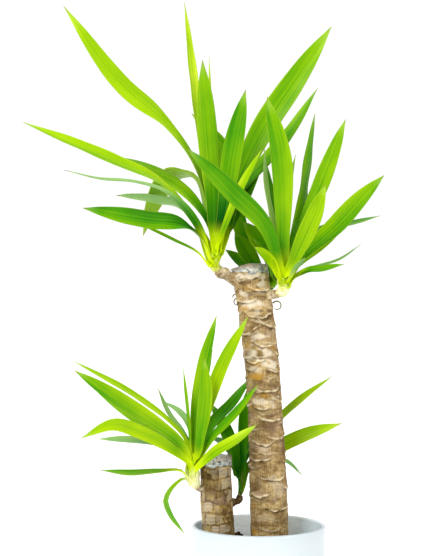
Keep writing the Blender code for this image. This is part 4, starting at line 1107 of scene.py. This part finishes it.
PATCHES = {name: [round_the_cane(*patch) for patch in SEEN_PATCHES[name]] for name in SEEN_PATCHES}
print({name: len(patches) for name, patches in PATCHES.items()}, "patches")

# %% [markdown]
# Seen close, a scar is a thin pale lip with a shelf of bark that thins out above it and a groove below.
# The lip is painted pale, partly its own colour and partly a painted highlight, and the groove is
# painted dark as the shadow under the lip. The relief gives how far the bark stands out at a point, and
# its marks.

# %% Relief of the tall cane
SCAR_REACH = 26
SHELF_HEIGHT = 1.9
SHELF_FADE = 6.0
SHELF_EDGE = 1.3
LIP_AT = 0.6
LIP_WIDTH = 1.1
GROOVE_AT = -2.4
GROOVE_WIDTH = 1.5
GROOVE_DEPTH = 0.5


def patch_share(patches, degrees, height, ragged):
    """How much of one kind of patch there is here, with a ragged edge."""
    most = 0.0
    for middle, low, half, tall, strength in patches:
        if abs(height - low) > 1.6 * tall:
            continue
        for turn, lift in SCARS_ROUND:
            off = ((degrees - middle - turn + 180) % 360 - 180) / half
            apart = math.hypot(off, (height - low - lift) / tall) * ragged
            most = max(most, strength * (1 - smooth((apart - 0.45) / 0.8)))
    return 0.85 * most


def scarred(degrees, height, point):
    """How far the bark stands out, and how much of each mark it carries here."""
    swell, lip, groove = 0.0, 0.0, 0.0
    wander = 3.0 * uneven(point, 13) + 1.6 * uneven(point, 5)
    for low, middle, half, rise, strength in SCARS:
        if abs(height - low - rise / 2) > SCAR_REACH:
            continue
        off = (degrees - middle + 180) % 360 - 180
        if abs(off) < half:
            above = height - low - rise * (off / half) ** 2 - wander
            edge = (1 - (off / half) ** 4) * strength
            shelf = math.exp(-above / SHELF_FADE) if above > 0 else bump(above, SHELF_EDGE)
            swell = max(swell, edge * shelf)
            lip = max(lip, edge * bump(above - LIP_AT, LIP_WIDTH))
            groove = max(groove, edge * bump(above - GROOVE_AT, GROOVE_WIDTH))
    fray = min(max(0.75 + 1.6 * uneven(point, 8, 4.0), 0.0), 1.0)
    out = SHELF_HEIGHT * swell - GROOVE_DEPTH * groove
    out += 0.9 * uneven(point, 16, 2.0) + 0.7 * uneven(Vector((point.x, point.y, point.z * 3)), 7)
    # The groove mark paints the shadow under each lip, and the scar mark a pale lip with a painted
    # highlight on it.
    marks = {"scar": lip * fray, "groove": groove * (1.45 - fray)}
    ragged = 1.0 + 1.1 * uneven(point, 11, 6.0) + 0.3 * uneven(point, 4, 9.0)
    for name, patches in PATCHES.items():
        marks[name] = patch_share(patches, degrees, height, ragged)
    return out, marks


print("relief in front at mid height:", round(scarred(0, 350, tall_axis(350)[0])[0], 2), "mm")

# %% [markdown]
# ## Cork in blocks
# The short cane is older and its cork has cracked. Blocks are laid round it like bricks, noise
# bends the joints and fades some of them out, and each block gets its own tone.

# %% Cracked cork
BLOCK_HEIGHT = 17.0
BLOCK_TURN = 40.0
BLOCK_SHIFT = 0.38
LAYER_PACE = 5.6
CRACK_WIDTH = 0.75
HOLLOW_WIDTH = 1.8


def blocky(degrees, height, point):
    """Cork that has cracked into upright blocks, in rows that step sideways."""
    height = height + 7.0 * uneven(point, 30) + 1.8 * uneven(point, 6)
    degrees = degrees + 22 * uneven(Vector((point.x, point.y, 0)), 17, 3.0)
    degrees += 8 * uneven(point, 8, 5.0)
    row = math.floor(height / BLOCK_HEIGHT)
    round_to = degrees + row * BLOCK_TURN * BLOCK_SHIFT
    place = round_to % BLOCK_TURN
    to_row = min(height - row * BLOCK_HEIGHT, (row + 1) * BLOCK_HEIGHT - height)
    to_side = math.radians(min(place, BLOCK_TURN - place)) * SHORT_CANE[1][3] / 2
    fade = min(max(0.6 + 2.8 * uneven(point, 14, 8.0), 0.0), 1.0)
    crack = bump(min(to_row, to_side), CRACK_WIDTH)
    hollow = bump(min(to_row, to_side), HOLLOW_WIDTH)
    tone = 0.5 + 0.5 * math.sin(row * 12.9 + math.floor(round_to / BLOCK_TURN) * 7.7)
    shelf = (height / LAYER_PACE + 0.5 * math.sin(row * 5.1)) % 1.0
    fine = bump(min(shelf, 1 - shelf), 0.1) * smooth(tone * 2 - 0.9)
    out = -(0.6 * hollow + 0.7 * crack) * fade - 0.35 * fine
    out += 1.1 * uneven(point, 13, 2.0) + 0.6 * uneven(point, 4, 2.0)
    # Painted shadow of the crown above, over the top left of the short cane, where its wood is also
    # dark.
    shaded = smooth((point.z - 246) / 18) * smooth((-75 - point.x) / 8)
    return out, {
        "scar": max(0.0, uneven(point, 7, 7.0)) * (1 - crack),
        "groove": max(crack * fade, 0.5 * fine),
        "cream": 0.45 * tone * (1 - hollow),
        "dark": max(0.9 * (0.5 - tone), shaded),
    }


print("blocks round the short cane:", round(360 / BLOCK_TURN))

# %% [markdown]
# ## Trunks
# Up a trunk, about one ring for each millimetre takes the relief of its bark, so that a scar's
# thin lip comes out as real shape. A trunk is drawn from its foot in the soil to the slimmer
# end that sits under the wax. The tall one was sawn a little aslant, so its end falls away on
# the left.

# %% Trunks
SLANT_FROM = -16.0
SLANT = 0.35
PLAIN_TO = 110.0
RELIEF_FROM = 140
BARE_BELOW = 158.0


def slanted(point):
    """Lowers what lies left of the saw cut's bend."""
    fall = max(0.0, SLANT_FROM - point.x) * SLANT
    share = max(0.0, point.z - TALL_WAX_LINE - 1) / (TALL_CANE[-1][0] - TALL_WAX_LINE - 1)
    return Vector((point.x, point.y, point.z - fall * share))


def trunk_shape(rows, relief, cut, wax_line, sides, ring_count):
    """Rings with relief from below the soil up to the wax, then two smooth ones under it."""
    axis = cane_axis(rows)
    heights = [rows[0][0], PLAIN_TO]
    span = wax_line - RELIEF_FROM
    heights += [RELIEF_FROM + i * span / (ring_count - 1) for i in range(ring_count)]
    rings = []
    for height in heights:
        centre, radius = axis(height)
        clear = smooth((height - BARE_BELOW) / 12)
        ring = []
        for k in range(sides):
            degrees = 360 * k / sides
            turn = math.radians(degrees)
            spoke = Vector((math.sin(turn), -math.cos(turn), 0))
            out, marks = relief(degrees, height, centre + spoke * radius)
            ring.append((cut(centre + spoke * (radius + out * clear)), marks))
        rings.append(ring)
    for height in (wax_line + GAP, rows[-1][0] - WAX - GAP):
        centre, radius = axis(height)
        ends = ring_about(centre, UP, radius - WAX - GAP, sides)
        rings.append([(cut(point), {}) for point in ends])
    return skin(rings)


cut_height = TALL_CANE[-1][0]
fall = cut_height - slanted(Vector((-40, 0, cut_height))).z
print("the saw cut falls", round(fall, 1), "mm by the left edge")

# %% [markdown]
# ## Side stubs
# When a grower saws off a cane, new crowns break out below the cut. Each sits on a short stub
# of old wood, given here as points of (across, up, depth, radius). A stub is a bent tube, cut
# square where its crown begins, with ring cracks and pale scales.

# %% Stubs
STUB_SIDES = 36
STUB_RINGS = 34
STUBS = {
    "tall_cane": {
        "crown_upper_left": [
            (-12, 543, 6, 12), (-38, 553.5, 1, 9.2), (-46, 558.3, -2, 8.2), (-54.5, 562.8, -4, 10.2),
        ],
        "crown_upper_right": [(4, 527, 0, 8.5), (14, 529, -4, 8.2)],
        "crown_upper_back": [(-4, 528, 14, 6.5), (6, 532, 28, 6.2)],
    },
    "short_cane": {
        "crown_lower_left": [(-70, 242, -6, 8.5), (-84, 241.5, -12, 7.2)],
        "crown_lower_right": [(-52, 221, 0, 6.8), (-36, 217.5, 8, 6.2), (-29, 221.5, 16, 5.4)],
    },
}


def stub_shape(crown, points):
    """A bent tube from inside the trunk to where its crown begins."""
    stem = Stem(crown)
    axis = (stem.points[1] - stem.points[0]).normalized()
    knots = [Vector((x, depth, z)) for x, z, depth, _ in points] + [stem.points[0] - axis * GAP]
    times = chord_times(knots)
    middle = curve_through(knots, times)
    radius = curve_through([point[3] for point in points] + [CROWNS[crown][1][0] - GAP], times)
    dark = 1.0 if crown == "crown_lower_right" else 0.0
    rings = []
    for i in range(STUB_RINGS):
        share = i / (STUB_RINGS - 1)
        here = middle(share * times[-1])
        back = middle(max(share - 0.05, 0.0) * times[-1])
        direction = (middle((share + 0.05) * times[-1]) - back).normalized()
        direction = direction.lerp(axis, smooth(share * 1.5 - 0.5)).normalized()
        ring = []
        for point in ring_about(here, direction, radius(share * times[-1]), STUB_SIDES):
            rough = 1.6 * uneven(point, 8, 1.0) + 0.8 * uneven(point, 3, 2.0) - 0.3
            line = abs((share * 5 + 0.7 * uneven(point, 9, 3.0)) % 1.0 - 0.5)
            cream = 0.5 * smooth(2 * share - 0.7) * (0.6 + uneven(point, 7, 5.0))
            marks = {"scar": max(0.0, uneven(point, 6, 8.0)) * 1.1, "groove": bump(line, 0.1)}
            marks.update({"cream": cream * (1 - dark), "dark": dark})
            ring.append((point + (point - here).normalized() * rough * (1 - share**6), marks))
        rings.append(ring)
    return skin(rings)


print({cane: list(stubs) for cane, stubs in STUBS.items()})

# %% [markdown]
# A cane and its stubs grew as one piece, so they are one object, with one finish for both.

# %% Canes with their stubs
TALL_SIDES, TALL_RINGS = 120, 400
SHORT_SIDES, SHORT_RINGS = 112, 140
tall_trunk = trunk_shape(TALL_CANE, scarred, slanted, TALL_WAX_LINE, TALL_SIDES, TALL_RINGS)
short_trunk = trunk_shape(SHORT_CANE, blocky, Vector, SHORT_WAX_LINE, SHORT_SIDES, SHORT_RINGS)
for name, trunk, finish, slot in (
    ("tall_cane", tall_trunk, tall_bark, "tall_bark"),
    ("short_cane", short_trunk, short_bark, "short_bark"),
):
    shapes = [trunk] + [stub_shape(*stub) for stub in STUBS[name].items()]
    cane = as_object(name + "_wood", joined(shapes), finish)
    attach(cane, "root")
    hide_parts(name)

# %% [markdown]
# ## Curls of dry bark
# Three thin strips have come loose below the upper crowns and rolled up. The blade recipe
# serves again: a curl is only a very small blade that goes round in a circle.

# %% Curls
CURL_STATIONS = 29
CURL_LENGTH = 30.0
CURL_HALF_WIDTH = 1.5
CURL_SIZES = {"Sides": 10, "Rib Thickness": 1.4 * MM, "Ripple": 0.0}
curl_look = Finish("dry_curl", 0.8, 0.15)
streaks = curl_look.grain((400.0, 400.0, 400.0), 2.0)
dry_curl = curl_look.end(mixed(streaks, (92, 82, 44), (140, 128, 80)), streaks, 0.0006, 0.4)
curls = []
for middle, radius, first, last in (
    (Vector((27.5, 6, 513.5)), 6.8, 150, -140),
    (Vector((-34.5, 7, 526)), 5.0, -40, 200),
    (Vector((-32.0, 9, 519)), 5.5, 50, 290),
):
    stations = []
    for i in range(CURL_STATIONS):
        share = i / (CURL_STATIONS - 1)
        turn = math.radians(first + (last - first) * share)
        spoke = Vector((math.cos(turn), 0, math.sin(turn)))
        ahead = Vector((-math.sin(turn), 0, math.cos(turn))) * (1 if last > first else -1)
        here = middle + spoke * radius * (1 - 0.15 * share)
        half = CURL_HALF_WIDTH * (1 - 0.5 * share)
        stations.append((share, here, ahead, spoke, half, 0.1))
    curls.append((stations, CURL_LENGTH, 0.0, {}))
curl = midline_object("bark_curls", curls)
grow(curl, BLADES, {**CURL_SIZES, "Finish": dry_curl})
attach(curl, "root")

# %% [markdown]
# ## Wax
# Growers dip a fresh cut in wax so that the cane doesn't dry out. It sets in an uneven skin,
# grey and white where it is thick and nearly black where bark shows through.

# %% Wax finish
def wax_finish():
    """Clouds of grey and white with fine specks, and tan where the rim has worn thin."""
    finish = Finish("grafting_wax", 0.45, 0.35)
    clouds = finish.grain((70.0, 70.0, 130.0), 6.0, 0.75)
    specks = finish.grain((330.0, 330.0, 330.0), 3.0)
    shades = ((0.0, (40, 40, 36)), (0.18, (104, 108, 104)), (0.42, (148, 156, 154)))
    value = clouds * 3.4 + specks * 1.6 - 1.98
    base = ramp(value, *shades, (0.66, (186, 190, 182)), (1.0, (232, 226, 206)))
    base = mixed(finish.mark("rim") * between(clouds, 0.36, 0.54), base, (134, 110, 72))
    return finish.end(base, clouds + specks, 0.002, 0.7)


grafting_wax = wax_finish()
print("wax finish:", grafting_wax.name)

# %% [markdown]
# Each cap is a profile of (height, distance out, brownness). It runs from under the lid down
# inside, out to the drips, up the side in bands, over a bumpy shoulder and in to the middle of
# a wrinkled, slightly hollow top.

# %% Wax seals
WAX_SIDES = 120
WAX_BANDS = 8
WAX_SHOULDER = 2.2
DRIPPING_RING = 3
WRINKLED_AFTER = 8
LONGEST_OVERHANG = 1.1


def wax_shape(rows, wax_line, cut):
    """A cap with a dripping lower edge, a bumpy shoulder and a wrinkled, hollow top."""
    axis = cane_axis(rows)
    top = rows[-1][0]
    low = wax_line + GAP
    lid = top - WAX
    outline = [(lid, -WAX - 6, 0), (lid, -WAX, 0), (low, -WAX, 0)]
    for i in range(WAX_BANDS + 1):
        height = low + (top - WAX_SHOULDER - low) * i / WAX_BANDS
        outline.append((height, 0.5 + 0.5 * smooth(i / 2), i / 12))
    for below, out, brown in ((1.2, 0.7, 1.0), (0.5, -0.2, 1.0), (0.2, -1.4, 1.0), (0.4, -3.0, 0.8)):
        outline.append((top - below, out, brown))
    for share in (0.82, 0.7, 0.55, 0.4, 0.25, 0.12):
        outline.append((top - 0.8, -axis(top)[1] * (1 - share), share - 0.4))
    rings = []
    for number, (height, out, brown) in enumerate(outline):
        centre, radius = axis(height)
        ring = []
        for point in ring_about(centre, UP, radius + out, WAX_SIDES):
            spoke = Vector((point.x - centre.x, point.y - centre.y, 0)).normalized()
            if number == DRIPPING_RING:
                drip = max(0.0, 0.6 + 5.0 * uneven(point, 9, 4.0) + 2.5 * uneven(point, 4, 6.0))
                point = point + spoke * min(drip, LONGEST_OVERHANG) - UP * drip
            if number > DRIPPING_RING:
                point = point + spoke * 0.9 * uneven(point, 6, 2.0)
            if number > WRINKLED_AFTER:
                point = point + UP * (2.2 * uneven(point, 7, 5.0) + 1.4 * uneven(point, 3, 1.0) - 1.1)
            ring.append((cut(point), {"rim": max(brown, 0.0)}))
        rings.append(ring)
    return skin(rings)


for name, rows, wax_line, cut in (
    ("tall_cane_wax_seal", TALL_CANE, TALL_WAX_LINE, slanted),
    ("short_cane_wax_seal", SHORT_CANE, SHORT_WAX_LINE, Vector),
):
    cap = as_object(name.replace("wax_seal", "wax"), wax_shape(rows, wax_line, cut), grafting_wax)
    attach(cap, "root")
    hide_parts(name)

# %% [markdown]
# ## The pot
# The pot is a plain white planter with a thin wall and a soft lip. Fine rings run round its
# inside, where the mould left them. It is drawn as a profile, ring by ring, with the inner
# rings as a small wave on the wall.

# %% Pot shape
POT_HEIGHT = 185.0
POT_RIM_RADIUS = 100.0
POT_BASE_RADIUS = 96.0
POT_WALL = 4.8
POT_FLOOR = 6.0
POT_EDGE = 3.0
POT_SIDES = 128
WALL_RINGS = 24
LIP_RINGS = 12
INNER_RINGS = 120
RIB_PACE = 2.8
RIB_HEIGHT = 0.2
SOIL_LEVEL = 147.0


def pot_radius(height):
    """The outer wall leans out a little towards the rim."""
    return POT_BASE_RADIUS + (POT_RIM_RADIUS - POT_BASE_RADIUS) * height / POT_HEIGHT


def pot_shape():
    """Rings from the underside out, up the wall, over the lip and down to the floor inside."""
    lip = POT_WALL / 2
    brim = POT_HEIGHT - lip
    outline = [(POT_BASE_RADIUS - 60, 0.0), (POT_BASE_RADIUS - 6, 0.0)]
    for degrees in (-90, -67, -45, -22, 0):
        turn = math.radians(degrees)
        out = pot_radius(POT_EDGE) + POT_EDGE * (math.cos(turn) - 1)
        outline.append((out, POT_EDGE * (1 + math.sin(turn))))
    for i in range(1, WALL_RINGS + 1):
        height = POT_EDGE + (brim - POT_EDGE) * i / WALL_RINGS
        outline.append((pot_radius(height), height))
    outside = len(outline)
    for i in range(1, LIP_RINGS):
        turn = math.pi * i / LIP_RINGS
        outline.append((POT_RIM_RADIUS + lip * (math.cos(turn) - 1), brim + lip * math.sin(turn)))
    for i in range(INNER_RINGS + 1):
        height = brim - (brim - SOIL_LEVEL + 12) * i / INNER_RINGS
        rib = RIB_HEIGHT * smooth(i / 12) * math.sin(2 * math.pi * height / RIB_PACE)
        outline.append((pot_radius(height) - POT_WALL + rib, height))
    inside = pot_radius(POT_FLOOR) - POT_WALL
    outline += [(inside, POT_FLOOR + 3), (inside - 3, POT_FLOOR)]
    rings = []
    for i, (radius, height) in enumerate(outline):
        past = i - outside
        # The inside mark carries painted light on the inner wall, and the lip mark a painted shadow line
        # round the lip.
        marks = {"inside": smooth((past - 4) / 6), "lip": bump(past - 3, 3.5)}
        ring = ring_about(Vector((0, 0, height)), UP, radius, POT_SIDES)
        rings.append([(point, marks) for point in ring])
    return skin(rings)


print("the pot's rim is", 2 * POT_RIM_RADIUS, "mm across and its foot", 2 * POT_BASE_RADIUS, "mm")

# %% [markdown]
# White plastic lets a little light in, which takes the hard edge off its shade. Inside, the wall is
# painted bluer and brighter than the outside, brightest in the middle, as painted light, and it turns
# grey towards both sides as painted shade. A grey band round the lip is a painted shadow line.

# %% Pot finish
def pot_finish():
    finish = Finish("white_pot_plastic", 0.3, 0.4)
    clouds = finish.grain((14.0, 14.0, 14.0), 3.0)
    outer = mixed(clouds, (203, 212, 216), (209, 217, 221))
    # Painted light: the inside is painted brighter and bluer than the outside.
    inner = mixed(clouds, (238, 251, 255), (243, 253, 255))
    # Painted shade: the inside turns grey towards both sides.
    aside = between(abs(finish.place_along("X")), 0.05, 0.096)
    inner = mixed(aside * 0.6, inner, (168, 180, 186))
    base = mixed(finish.mark("inside"), outer, inner)
    # Painted shadow: a grey band round the lip.
    base = mixed(finish.mark("lip") * 0.7, base, (150, 160, 166))
    finish.shader.inputs["Subsurface Weight"].default_value = 0.6
    finish.shader.inputs["Subsurface Radius"].default_value = (1.0, 1.0, 1.0)
    finish.shader.inputs["Subsurface Scale"].default_value = 0.012
    return finish.end(base, finish.grain((900.0, 900.0, 900.0), 2.0), 0.0002, 0.12)


pot = as_object("white_pot", pot_shape(), pot_finish())
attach(pot, "root")
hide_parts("pot")

# %% [markdown]
# ## The soil
# Only a sliver of soil shows from the front, but from above it fills the pot. The solid soil
# already has the right lumps and the holes for both canes, so it stays and gets a new finish.

# %% Soil finish
def soil_finish(name, *stops):
    finish = Finish(name, 0.92, 0.15)
    clumps = finish.grain((160.0, 160.0, 160.0), 6.0, 0.7)
    base = ramp(clumps * 0.7 + finish.mark("tone") * 0.6 - 0.15, *stops)
    return finish.end(base, clumps, 0.003, 0.9)


dark_stops = ((0.0, (10, 9, 9)), (0.5, (34, 27, 23)), (1.0, (72, 57, 44)))
soil_dark = soil_finish("potting_soil", *dark_stops)
brown_stops = ((0.0, (60, 40, 26)), (0.5, (112, 80, 52)), (1.0, (158, 120, 82)))
chip_brown = soil_finish("bark_chips", *brown_stops)
white_stops = ((0.0, (170, 166, 158)), (0.5, (214, 211, 204)), (1.0, (236, 234, 228)))
grain_white = soil_finish("white_grains", *white_stops)
soil_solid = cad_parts["soil"]
soil_solid.material_slots[0].material = soil_dark
print("soil wears", [slot.material.name for slot in soil_solid.material_slots])

# %% [markdown]
# Crumbs, chips of bark and a few white grains are scattered over the soil by a recipe: small
# round stones, squashed and turned by chance, each with its own tone. Placing them by hand
# would take far longer and look more orderly.

# %% Scatter recipe
def scatter_recipe():
    """Random places on the faces it is given, a rough stone on each, all sizes by chance."""
    sizes = dict.fromkeys(("Density", "Smallest", "Largest", "Flatness"), "Float")
    tree, given = new_shape_tree("scatter crumbs", {**sizes, "Seed": "Int", "Finish": "Material"})

    def drawn(kind, seed, **limits):
        """A number or direction drawn by chance for each stone."""
        return step(tree, "FunctionNodeRandomValue", {"Seed": seed, **limits}, "Value", data_type=kind)

    inputs = {"Mesh": given["Geometry"], "Density": given["Density"], "Seed": given["Seed"]}
    points = step(tree, "GeometryNodeDistributePointsOnFaces", inputs, distribute_method="RANDOM")
    points = stored(points, "tone", drawn("FLOAT", 7))
    stone = step(tree, "GeometryNodeMeshIcoSphere", {"Radius": 1.0, "Subdivisions": 2})
    inputs = {"Vector": step(tree, "GeometryNodeInputPosition"), "Scale": 1.3}
    rough = step(tree, "ShaderNodeTexNoise", inputs, "Color") - (0.5, 0.5, 0.5)
    stone = step(tree, "GeometryNodeSetPosition", {"Geometry": stone, "Offset": rough})
    size = drawn("FLOAT", 3, Min=given["Smallest"], Max=given["Largest"])
    scale = {"X": size * 1.5, "Y": size, "Z": size * given["Flatness"]}
    turn = drawn("FLOAT_VECTOR", 5, Min=(-0.6, -0.6, -3.14), Max=(0.6, 0.6, 3.14))
    crumbs = step(tree, "GeometryNodeInstanceOnPoints", {
        "Points": points,
        "Instance": stone,
        "Rotation": step(tree, "FunctionNodeEulerToRotation", {0: turn}),
        "Scale": step(tree, "ShaderNodeCombineXYZ", scale),
    })
    end_shape_tree(crumbs, given["Finish"])
    return tree


SCATTER = scatter_recipe()
print("scatter recipe has", len(SCATTER.nodes), "nodes")

# %% [markdown]
# The recipe needs bare faces to scatter on: the open soil, without what lies under the canes.
# They rise and fall as the solid's top does, with a clod beside the short cane's foot.

# %% Crumbs, chips and grains
PATCH_PACE = 4.0
PATCH_MARGIN = 3
CANE_MARGIN = 2
LUMP_HEIGHT = 2.2
CLOD_PLACE = Vector((-30, 60))
CLOD_HEIGHT = 17.0
CLOD_RADIUS = 9.0


def soil_height(x, y):
    """The height of the soil's lumpy top."""
    lump = noise.noise(Vector((x / 24, y / 24, 3.7))) + 0.5 * noise.noise(Vector((x / 9, y / 9, 1.3)))
    clod = CLOD_HEIGHT * bump((Vector((x, y)) - CLOD_PLACE).length, CLOD_RADIUS)
    return SOIL_LEVEL + LUMP_HEIGHT * lump + clod


def soil_patch(name):
    """A grid of faces on the soil's top, with a hole for each cane."""
    reach = pot_radius(SOIL_LEVEL) - POT_WALL - PATCH_MARGIN
    stems = [cane_axis(rows)(SOIL_LEVEL) for rows in (TALL_CANE, SHORT_CANE)]
    span = int(reach / PATCH_PACE)
    points, numbers = [], {}
    for i in range(-span, span + 1):
        for j in range(-span, span + 1):
            x, y = i * PATCH_PACE, j * PATCH_PACE
            spots = [(Vector((x, y)) - at.xy).length - radius for at, radius in stems]
            covered = min(spots) < CANE_MARGIN
            if math.hypot(x, y) <= reach and not covered:
                numbers[i, j] = len(points)
                points.append(Vector((x, y, soil_height(x, y))))
    faces = []
    for i, j in numbers:
        corners = [(i, j), (i + 1, j), (i + 1, j + 1), (i, j + 1)]
        if all(corner in numbers for corner in corners):
            faces.append(tuple(numbers[corner] for corner in corners))
    return as_object(name, (points, faces, []))


for name, density, smallest, largest, flatness, seed, finish in (
    ("soil_crumbs", 90000.0, 0.7, 2.1, 0.8, 1, soil_dark),
    ("soil_chips", 9000.0, 1.2, 3.2, 0.35, 2, chip_brown),
    ("soil_grains", 3500.0, 0.6, 1.3, 0.9, 3, grain_white),
):
    values = {"Density": density, "Smallest": smallest * MM, "Largest": largest * MM}
    values.update({"Flatness": flatness, "Seed": seed, "Finish": finish})
    crumbs = grow(soil_patch(name), SCATTER, values)
    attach(crumbs, "root")

# %% [markdown]
# ## Floor and light
# The plant stands on a plain pale floor in a bright room. The room is brightest along the
# horizon, as a studio's white sweep is, and softer overhead, so the leaves keep their shade.
# Far, wide lamps act like a window: one in front and to the left, a weaker one to the right,
# and one overhead.

# %% Floor, lamps and room
FLOOR_REACH = 40.0
floor_look = Finish("pale_floor", 0.8, 0.1)
faint = floor_look.grain((3.0, 3.0, 3.0), 2.0)
floor_mesh = bpy.data.meshes.new("floor")
corners = [(-1, -1), (1, -1), (1, 1), (-1, 1)]
corners = [(x * FLOOR_REACH, y * FLOOR_REACH, 0) for x, y in corners]
floor_mesh.from_pydata(corners, [], [(0, 1, 2, 3)])
floor_mesh.materials.append(floor_look.end(mixed(faint, (248, 248, 248), (252, 252, 252))))
floor = new_object("floor", floor_mesh)
floor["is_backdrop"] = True


def far_lamp(name, towards, power, softness):
    """A lamp so far off that its light falls the same way everywhere."""
    light = bpy.data.lights.new(name, "SUN")
    light.energy = power
    light.angle = math.radians(softness)
    lamp = new_object(name, light)
    lamp.rotation_euler = Vector(towards).to_track_quat("Z", "Y").to_euler()


far_lamp("front_lamp", (-0.45, -0.7, 0.85), 2.5, 22)
far_lamp("side_lamp", (0.8, -0.55, 0.45), 0.75, 40)
far_lamp("top_lamp", (0.1, 0.5, 1.0), 1.1, 60)
room = bpy.data.worlds.new("bright_room")
room.use_nodes = True
background = room.node_tree.nodes["Background"]
looking = step(room.node_tree, "ShaderNodeTexCoord", output="Generated")
height = step(room.node_tree, "ShaderNodeSeparateXYZ", {0: looking}, "Z")
inputs = {"Value": abs(height), "From Min": 0.22, "From Max": 0.4, "To Min": 1.06, "To Max": 0.42}
strength = step(room.node_tree, "ShaderNodeMapRange", inputs, "Result")
room.node_tree.links.new(strength.socket, background.inputs["Strength"])
background.inputs["Color"].default_value = (1, 1, 1, 1)
bpy.context.scene.world = room
bpy.context.scene.view_settings.view_transform = "Standard"

# %% [markdown]
# ## Measuring
# Last, the dressed plant is measured, and its size is printed.

# %% Measure and finish
low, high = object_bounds()
print("dressed plant reaches", [round(b - a, 4) for a, b in zip(low, high)])
